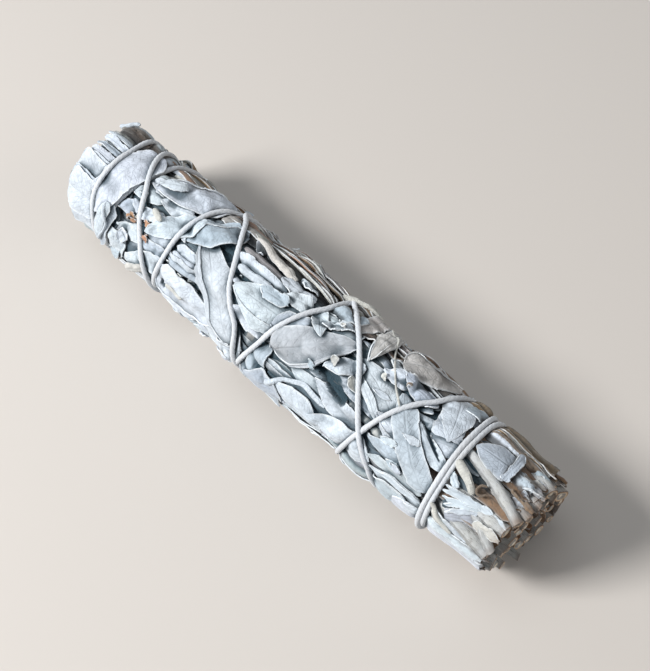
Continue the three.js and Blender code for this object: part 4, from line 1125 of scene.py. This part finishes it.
QUILLS = [  # places of x and turn, radius, tint, how high it lies
    ([(25, 62), (16, 58), (9, 69), (4.5, 82)], 0.72, "w", 0.5),
    ([(22, -50), (27, -35), (31, -20), (34, -8), (38, 3), (43, 15)], 0.27, "c", 1.2),
    ([(-57, 23), (-51, 27)], 0.85, "c", 0.5),
    ([(-39.7, 74), (-36, 74.5), (-32.2, 73.5)], 0.6, "c", 0.5),
    ([(-70, 45), (-68, 68), (-71, 92)], 0.5, "w", 0.5),
    ([(66, 61), (68.5, 67), (71, 73), (75, 77)], 0.6, "c", 0.8),
    ([(65, 17), (70.5, 23), (74.5, 31)], 1.1, "c", 0.5),
    ([(-87, -44), (-90, -43), (-92.6, -38)], 0.75, "w", 0.9),
]
for row in QUILLS:
    quill(*row)
curl_turns = np.linspace(0, 5.0, 14)  # one dry shaving has curled into a ring
quill([(75.7 + 1.7 * math.cos(a), 24 + 6.0 * math.sin(a)) for a in curl_turns], 0.32, "n", 3.0)
for x, turn in ((-36, 140), (8, 190), (-20, 235), (34, 260), (-58, 205), (50, 150), (18, 300), (-40, 290)):
    lean = rng.uniform(-14, 14)
    course = [(x, turn), (x - 7, turn + lean), (x - 14, turn + 1.6 * lean)]
    quill(course, rng.uniform(0.5, 1.0), rng.choice(list("wcw")))
print("parts in each sprig:", [len(parts) for parts in sprig_parts.values()])

# %% [markdown]
# ## Leaf material
# Dried white sage is felted: a dense coat of short hairs scatters the light, so it looks chalky, with a
# faint sheen at grazing angles and no gloss. The colour comes from each leaf's own tint, mottled and paler
# along the margin. Painted shade darkens it where the leaf lies deep, cold blue-grey on the near side and
# warm brown on the far side and among the stems. Veins are drawn from the leaf's own map, in mm.


# %% Node helpers
class Nodes:
    """A material's nodes, added and joined in one call each."""

    def __init__(self, name):
        self.material = bpy.data.materials.new(name)
        self.material.use_nodes = True
        self.tree = self.material.node_tree
        self.shader = self.tree.nodes["Principled BSDF"]
        self.where = self.add("TexCoord").outputs["Object"]

    def add(self, kind, sources=None, values=None, **settings):
        node = self.tree.nodes.new("ShaderNode" + kind)
        for key, value in settings.items():
            setattr(node, key, value)
        for key, value in (values or {}).items():
            node.inputs[key].default_value = value
        for key, source in (sources or {}).items():
            self.tree.links.new(source, node.inputs[key])
        return node

    def feed(self, socket, value):
        """Joins a node's output to a socket, or sets a plain value on it."""
        if hasattr(value, "node"):
            self.tree.links.new(value, socket)
        else:
            socket.default_value = value

    def math(self, operation, *terms):
        node = self.add("Math", operation=operation)
        for socket, value in zip(node.inputs, terms):
            self.feed(socket, value)
        return node.outputs[0]

    def times(self, a, b):
        return self.math("MULTIPLY", a, b)

    def ramp(self, source, stops):
        node = self.add("ValToRGB", {"Fac": source})
        while len(node.color_ramp.elements) < len(stops):
            node.color_ramp.elements.new(0.5)
        for element, (position, value) in zip(node.color_ramp.elements, stops):
            element.position = position
            element.color = (*value, 1)
        return node.outputs["Color"]

    def mix(self, factor, a, b, blend="MIX"):
        node = self.add("Mix", data_type="RGBA", blend_type=blend)
        for key, value in (("Factor", factor), ("A", a), ("B", b)):
            self.feed(next(s for s in node.inputs if s.name == key and s.enabled), value)
        return next(s for s in node.outputs if s.enabled)

    def noise(self, source, scale, detail, roughness=0.5):
        values = {"Scale": scale, "Detail": detail, "Roughness": roughness}
        return self.add("TexNoise", {"Vector": source}, values).outputs["Fac"]

    def number(self, attribute):
        return self.add("Attribute", attribute_name=attribute).outputs["Fac"]

    def surface(self):
        return self.add("UVMap", uv_map="surface").outputs["UV"]

    def rising(self, source, low, high):
        """From 0 at one number to 1 at another."""
        return self.add("MapRange", {"Value": source}, {"From Min": low, "From Max": high}).outputs[0]

    def finish(self, colour, height, strength, distance, values):
        """Joins the colour and the relief to the shader and sets its other sockets."""
        bump = self.add("Bump", {"Height": height}, {"Strength": strength, "Distance": distance})
        values = {"Base Color": colour, "Normal": bump.outputs["Normal"], **values}
        for name, value in values.items():
            self.feed(self.shader.inputs[name], value)


def grey(value):
    return (value, value, value)


print("helpers:", [name for name in vars(Nodes) if not name.startswith("_")])

# %% Veins of a leaf
felted = Nodes("felted sage leaf")
along = felted.surface()
mid, deep, edge = (felted.number(name) for name in ("mid", "deep", "edge"))
meshes = {"Scale": 5.5, "Randomness": 0.95}
net = felted.add("TexVoronoi", {"Vector": along}, meshes, feature="DISTANCE_TO_EDGE")
net_line = felted.ramp(net.outputs["Distance"], [(0.0, grey(1)), (0.10, grey(0))])
length_mm = felted.times(felted.add("SeparateXYZ", {"Vector": along}).outputs["X"], 10.0)
bands = felted.math("FRACT", felted.times(felted.math("SUBTRACT", length_mm, felted.times(mid, 1.1)), 0.42))
from_vein = felted.math("ABSOLUTE", felted.math("SUBTRACT", bands, 0.5))
side_vein = felted.ramp(from_vein, [(0.0, grey(1)), (0.09, grey(0))])
rib = felted.ramp(mid, [(0.10, grey(1)), (0.45, grey(0))])
veins = felted.math("MAXIMUM", felted.times(side_vein, 0.7), rib)
veins = felted.math("MAXIMUM", veins, felted.times(net_line, 0.6))
print("nodes of the veins:", len(felted.tree.nodes))

# %% Felted leaf
VEIN, PALE_RIM, BROWNED = (0.27, 0.31, 0.34, 1), (0.82, 0.86, 0.89, 1), (0.25, 0.145, 0.08, 1)
# painted shade colours: cold between the leaves of the near side, warm on the far side and among the stems
COLD_PAINTED_SHADE, WARM_PAINTED_SHADE = (0.035, 0.065, 0.085, 1), (0.075, 0.050, 0.034, 1)  # deep between leaves, and stems
mottle = felted.noise(felted.where, 330, 6, 0.68)
felt = felted.noise(felted.where, 2400, 3, 0.7)
tint = felted.add("Attribute", attribute_name="tint").outputs["Color"]
blotches = [(0.26, grey(0.62)), (0.42, grey(0.86)), (0.58, grey(1.02)), (0.75, grey(1.14))]
colour = felted.mix(1.0, tint, felted.ramp(mottle, blotches), "MULTIPLY")
colour = felted.mix(felted.times(veins, 0.22), colour, VEIN)
colour = felted.mix(felted.times(felted.math("POWER", edge, 14.0), 0.8), colour, PALE_RIM)
axes = felted.add("SeparateXYZ", {"Vector": felted.where}).outputs
# which painted shade colour a place gets: warm on the far side and among the stems, cold elsewhere
far_side, stem_side = felted.rising(axes["Y"], 0.002, 0.012), felted.rising(axes["X"], 0.070, 0.080)
dark = felted.mix(felted.math("MAXIMUM", far_side, stem_side), COLD_PAINTED_SHADE, WARM_PAINTED_SHADE)
near_cut = felted.math("ADD", axes["X"], felted.times(mottle, 0.012))
colour = felted.mix(felted.times(felted.rising(near_cut, 0.090, 0.096), 0.75), colour, BROWNED)
# painted shade: the deeper a leaf lies under others, the nearer its colour comes to the shade colour
colour = felted.mix(felted.ramp(deep, [(0.04, grey(0)), (0.27, grey(0.78)), (0.8, grey(1))]), colour, dark)
relief = felted.math("ADD", felted.times(felt, 0.40), felted.times(mottle, 0.6))
relief = felted.math("ADD", relief, felted.times(veins, -0.8))
felted.finish(colour, relief, 0.55, 0.0004, {
    "Roughness": 0.92, "Specular IOR Level": 0.2, "Sheen Weight": 0.2, "Sheen Roughness": 0.5,
})
print("nodes of the leaf:", len(felted.tree.nodes))

# %% Assemble the sprigs
for k, parts in sprig_parts.items():
    name = f"sprig_{k + 1:02d}"
    piece = mesh_piece(name + "_foliage", parts, [felted.material], [name + "_leaves"])
    print(piece.name, len(piece.data.polygons), "faces")

# %% [markdown]
# ## Stems
# A stem is woody, square-shouldered when young and round when old, with a ring of scars where its leaves
# sat. Where it is cut, a brown bark ring holds a pale pith. One stem is modelled by extruding a disc ring
# by ring and setting its end in, and it is bent along each stem's course.

# %% Model the stem
STEM_RINGS, STEM_SIDES = 30, 14
CUT_INSETS = ((0.12, 0.06), (0.22, -0.05), (0.3, -0.14))  # bark, wood and pith: how far in, and how far up
bpy.ops.object.select_all(action="DESELECT")
bpy.ops.mesh.primitive_circle_add(vertices=STEM_SIDES, radius=1, fill_type="NGON")
stem = bpy.context.object
bpy.ops.object.mode_set(mode="EDIT")
bpy.ops.mesh.select_all(action="SELECT")
for _ in range(STEM_RINGS):
    bpy.ops.mesh.extrude_region_move(TRANSFORM_OT_translate={"value": (0, 0, 1)})
for inset, drop in CUT_INSETS:
    bpy.ops.mesh.inset(thickness=inset, depth=0)
    bpy.ops.transform.translate(value=(0, 0, drop))
bpy.ops.mesh.select_all(action="SELECT")
bpy.ops.mesh.normals_make_consistent(inside=False)
bpy.ops.object.mode_set(mode="OBJECT")
stem_corners = np.array([v.co[:] for v in stem.data.vertices])
stem_faces = [tuple(p.vertices) for p in stem.data.polygons]
bpy.data.objects.remove(stem, do_unlink=True)


def is_cut(face):
    """Whether a face lies past the last ring, or is the round face at the end."""
    heights = stem_corners[list(face), 2]
    return np.mean(heights) > STEM_RINGS + 0.005 or (len(face) > 4 and heights[0] > 1)


stem_cut = [int(is_cut(face)) for face in stem_faces]
print("stem:", len(stem_faces), "faces, of which", sum(stem_cut), "at the cut")


# %% Bend it along a course
def stem_part(course, size, seed):
    """course: rows of x, turn and r from deep inside to the cut; size: radii at the same rows."""
    fine = np.linspace(0, 1, STEM_RINGS + 1)
    knots = np.linspace(0, 1, len(course))
    x, turn, r = (eased(np.interp(fine, knots, values)) for values in np.array(course, float).T)
    draw = np.random.default_rng(seed)
    scars = draw.uniform(0.62, 0.96, 5)
    radii = np.interp(fine, knots, size)
    radii = radii * (1 + sum(0.2 * np.exp(-(((fine - s) / 0.02) ** 2)) for s in scars))
    middle = place(x, turn, r)
    tangent = unit(np.gradient(middle, axis=0))
    side = unit(np.cross(np.array([0, 0.3, 1.0]), tangent))
    up = np.cross(tangent, side)
    ring = np.minimum(np.floor(stem_corners[:, 2] + 0.001), STEM_RINGS).astype(int)
    beyond = stem_corners[:, 2] - ring
    angle = np.arctan2(stem_corners[:, 1], stem_corners[:, 0])
    share = np.hypot(stem_corners[:, 0], stem_corners[:, 1])
    ragged = 1 + 0.06 * np.sin(angle * 3 + draw.uniform(0, 6))
    ragged = ragged + 0.036 * np.sin(angle * 5 + ring * 0.4 + draw.uniform(0, 6))
    spread = radii[ring] * share * ragged
    aside, over = spread * np.cos(angle), spread * np.sin(angle)
    cut_lean = draw.uniform(-0.35, 0.35) * (ring == STEM_RINGS)
    onward = beyond * radii[ring] + cut_lean * aside
    points = middle[ring] + side[ring] * aside[:, None] + up[ring] * over[:, None]
    points = points + tangent[ring] * onward[:, None]
    length = np.linalg.norm(middle[-1] - middle[0])
    return {
        "points": points,
        "faces": stem_faces,
        "kind": stem_cut,
        "uv": np.stack([fine[ring] * length / 10, angle / (2 * math.pi) * 1.2], axis=1),
        "share": share,
        "tone": np.full(len(ring), draw.uniform(0, 1)),
    }


print("a bent stem:", STEM_RINGS + 1, "rings of", STEM_SIDES, "points")

# %% Stems round the roll and in its heart
RING_STEMS = [  # turn at the cut, turn at the binding, x of the cut
    (-32, -43, 89), (-7, -19, 88), (26, -1, 89), (40, 41, 87.5), (78, 60, 86), (98, 94, 84.6),
    (127, 124, 86.6), (155, 154, 85), (184, 184, 86.4), (214, 214, 88), (246, 245, 87), (286, 280, 89),
]
STANDS_OUT = {0: 0.9, 1: 0.6, 2: 2.3, 3: 1.6, 4: 1.9}  # how far the stems that show stand out, in mm
HIGH_STEM = 2  # this one lies over the others from the binding on
RING_TAPER = np.array([0.6, 0.8, 0.95, 1, 1, 1.02, 1, 1.04])
stem_parts = {}
for k, (cut, bound, reach) in enumerate(RING_STEMS):
    inside = FIRST_MIDDLE + RING_TURN * k
    out = STANDS_OUT.get(k, 0.3)
    risen = 14.3 if k == HIGH_STEM else 11.3
    course = [
        (-20, inside, 10.1), (20, inside, 10.1), (46, inside, 10.1), (55, (inside + bound) / 2, risen - 1),
        (63, bound, risen), (72, bound + (cut - bound) * 0.28, 13.6 + out),
        (80, bound + (cut - bound) * 0.55, 13.3 + out), (reach, cut, 12.8 + out),
    ]
    radius = 1.75 + 0.3 * math.sin(2.4 * k)
    stem_parts[k] = [stem_part(course, radius * RING_TAPER, 100 + k)]
for k in range(HEART_SPRIGS):
    turn = (k + 0.5) * HEART_TURN
    reach = 87 + 1.5 * math.sin(2.7 * k)
    course = [(-30, turn, 4.56), (30, turn, 4.56), (70, turn + 4, 4.6), (reach, turn, 5.0)]
    radius = 1.8 + 0.25 * math.sin(1.9 * k)
    stem_parts[RING_SPRIGS + k] = [stem_part(course, radius * np.array([0.7, 1, 1, 1.02]), 200 + k)]
print("stems:", len(stem_parts))

# %% Thinner shoots between them
SHOOTS = [  # turn, distance from the axis, x of the cut, radius
    (11, 14.8, 90, 1.4), (-7, 14.6, 90, 1.5), (81, 15.6, 86, 1.2), (-20, 14.4, 88.5, 1.2), (112, 15, 87, 1.0),
    (140, 14.6, 88, 1.3), (170, 15, 89, 1.1), (200, 14.6, 87, 1.2), (230, 14.8, 88.5, 1.2),
    (265, 14.6, 89, 1.4), (303, 14.6, 87, 1.2), (318, 13.6, 90, 1.5), (20, 9.4, 88, 1.3), (75, 9.2, 89, 1.2),
    (130, 9.3, 86.5, 1.3), (190, 9.4, 88, 1.4), (250, 9.3, 87, 1.2), (310, 9.4, 88.5, 1.3),
    (0, 1.2, 87.5, 1.5),
]
SHOOT_TAPER = np.array([0.7, 1, 1, 1])
for n, (turn, r, reach, radius) in enumerate(SHOOTS):
    sunk = (3, 2.4, 0.6, 1.3) if r > 12 else (0, 0, 0, 0)  # the outer ones dip under the binding
    places = ((40, turn), (60, turn), (74, turn), (reach, turn + 3))
    course = [(*where, r - low) for where, low in zip(places, sunk)]
    stem_parts[sprig_at(turn, r)].append(stem_part(course, radius * SHOOT_TAPER, 300 + n))
bare = [(60, 42, 13.0), (72, 44, 14.5), (80, 48, 16.0), (87.3, 66, 15.6)]  # one bends across the others
stem_parts[3].append(stem_part(bare, 1.15 * SHOOT_TAPER, 350))
print("shoots:", len(SHOOTS) + 1)

# %% [markdown]
# ## Stem materials
# Bark is grey-brown with pale bloom, streaked along the stem. The cut shows a thin dark ring of bark, a
# cream ring of wood and a softer pith.

# %% Bark
BLOOM, OLD_BARK, SCORCHED = (0.66, 0.71, 0.75, 1), (0.48, 0.38, 0.30, 1), (0.20, 0.115, 0.06, 1)
bark = Nodes("sage bark")
streaks_map = bark.add("Mapping", {"Vector": bark.surface()}, {"Scale": (1.2, 14, 1)}).outputs[0]
streaks = bark.noise(streaks_map, 2.5, 5, 0.65)
patches = bark.noise(bark.where, 220, 4)
ridged = [(0.37, (0.15, 0.14, 0.125)), (0.43, (0.52, 0.54, 0.53)), (0.7, (0.75, 0.78, 0.78))]
colour = bark.ramp(streaks, ridged)
colour = bark.mix(bark.times(bark.ramp(patches, [(0.35, grey(0)), (0.62, grey(1))]), 0.6), colour, BLOOM)
colour = bark.mix(bark.times(bark.number("tone"), 0.16), colour, OLD_BARK)
far_along = bark.add("SeparateXYZ", {"Vector": bark.where}).outputs["X"]
near_cut = bark.math("ADD", far_along, bark.times(patches, 0.006))
colour = bark.mix(bark.times(bark.rising(near_cut, 0.088, 0.092), 0.8), colour, SCORCHED)
bark.finish(colour, streaks, 1.0, 0.0005, {"Roughness": 0.85})
print("nodes of the bark:", len(bark.tree.nodes))

# %% The cut, and the stems with it
CUT_RINGS = [  # from the pith out to the bark
    (0.0, (0.80, 0.72, 0.58)), (0.38, (0.84, 0.77, 0.64)), (0.5, (0.45, 0.32, 0.21)),
    (0.62, (0.78, 0.66, 0.50)), (0.86, (0.52, 0.36, 0.24)), (0.97, (0.12, 0.07, 0.045)),
]
cut_face = Nodes("cut stem")
grain = cut_face.noise(cut_face.where, 2200, 3)
speckled = cut_face.ramp(grain, [(0.3, grey(0.7)), (0.7, grey(1.15))])
colour = cut_face.mix(1.0, cut_face.ramp(cut_face.number("share"), CUT_RINGS), speckled, "MULTIPLY")
cut_face.finish(colour, grain, 0.6, 0.0002, {"Roughness": 0.9})
for k, parts in stem_parts.items():
    name = f"sprig_{k + 1:02d}"
    mesh_piece(name + "_twigs", parts, [bark.material, cut_face.material], [name + "_stem"])
print("twigs:", len(stem_parts))

# %% [markdown]
# ## The thread's body
# Soft cotton string of three strands twisted together. The route is walked in short even steps, and at each
# a ring of a three-lobed section is set, turned a little further than the last, so that the strands show.
# The ends are closed, and the knot is the same string along a small overhand loop.

# %% Thread
STRANDS, STRING_SIDES, STRING_STEP = 3, 12, 0.34
TWIST = 5.6  # mm along the thread for one whole twist


def walk(points):
    """Points at even steps along a line, and how far along it each one is."""
    gaps = np.linalg.norm(np.diff(points, axis=0), axis=1)
    run = np.concatenate([[0], np.cumsum(gaps)])
    even = np.linspace(0, run[-1], int(run[-1] / STRING_STEP) + 1)
    return np.stack([np.interp(even, run, points[:, n]) for n in range(3)], axis=1), even


def string_part(points, seed=1):
    line, run = walk(points)
    angle = np.linspace(0, 2 * math.pi, STRING_SIDES, endpoint=False)
    twist = run[:, None] / TWIST * 2 * math.pi
    crest = np.abs(np.cos(STRANDS / 2 * (angle[None, :] - twist)))
    wander = 1 + 0.035 * np.sin(run / 2.3 + seed) + 0.025 * np.sin(run / 0.9)
    size = HALF_THREAD * wander[:, None] * (0.91 + 0.12 * crest)
    ends = np.minimum(run, run[-1] - run)
    size = size * np.clip(0.35 + ends / 0.5, 0, 1)[:, None]
    lie = (angle[None, :] / (2 * math.pi) * STRANDS - run[:, None] / TWIST * STRANDS) % 1000
    part = tube(line, size, angle, flatness=0.92)
    part["uv"] = np.stack([np.repeat(run, STRING_SIDES) / 10, lie.reshape(-1)], axis=1)
    part["crest"] = crest.reshape(-1)
    return part


def knot_points(x, turn, r):
    """A flat overhand knot where both ends of the thread meet."""
    a = np.linspace(0, 4 * math.pi, 60)
    dx = 1.5 * np.sin(a) + 0.35 * np.sin(3 * a)
    ds = 1.3 * np.cos(a * 1.5)
    return place(x + dx, turn + ds / ARC, r + 0.55 + 0.4 * np.sin(a * 2.5))


knot_x, knot_turn = (out_x[0] + back_x[-1]) / 2, out_turn[0] - 1
knot_r = float(max(out_r[0], back_r[-1]))
thread_parts = [string_part(thread_middle), string_part(knot_points(knot_x, knot_turn, knot_r), seed=4)]
for dx, dt in ((9, -16), (12, 6)):  # both tails
    u = np.linspace(0, 1, 12)
    tx, tt = knot_x + dx * u + 0.8 * np.sin(u * 5), knot_turn + dt * u
    tr = np.maximum(read(top, tx, tt) + THREAD * 0.35, knot_r * (1 - u * 3))
    thread_parts.append(string_part(place(tx, tt, tr), seed=6))
print("thread parts:", len(thread_parts))

# %% [markdown]
# ## Cotton
# Cotton is matt and a little hairy. Fine fibres follow the strands, the grooves between the strands are
# darkened with painted shade, and handling has soiled the thread in places.

# %% Cotton
PAINTED_GROOVE_SHADE, SOILED = (0.30, 0.29, 0.27, 1), (0.58, 0.55, 0.51, 1)
cotton = Nodes("cotton thread")
fibres_map = cotton.add("Mapping", {"Vector": cotton.surface()}, {"Scale": (6, 9, 1)}).outputs[0]
fibres = cotton.noise(fibres_map, 3.0, 4, 0.7)
whites = [(0.25, (0.60, 0.63, 0.67)), (0.6, (0.74, 0.78, 0.83)), (0.8, (0.80, 0.84, 0.89))]
colour = cotton.ramp(fibres, whites)
# painted shade in the grooves between the strands, where the crest is low
colour = cotton.mix(cotton.ramp(cotton.number("crest"), [(0.0, grey(0.45)), (0.4, grey(0))]), colour, PAINTED_GROOVE_SHADE)
soil = cotton.ramp(cotton.noise(cotton.where, 90, 3), [(0.45, grey(0)), (0.75, grey(1))])
colour = cotton.mix(cotton.times(soil, 0.25), colour, SOILED)
cotton.finish(colour, fibres, 0.5, 0.0003, {
    "Roughness": 0.85, "Specular IOR Level": 0.25, "Sheen Weight": 0.4,
})
thread = mesh_piece("cotton_thread", thread_parts, [cotton.material], ["binding_thread"])
print("thread faces:", len(thread.data.polygons))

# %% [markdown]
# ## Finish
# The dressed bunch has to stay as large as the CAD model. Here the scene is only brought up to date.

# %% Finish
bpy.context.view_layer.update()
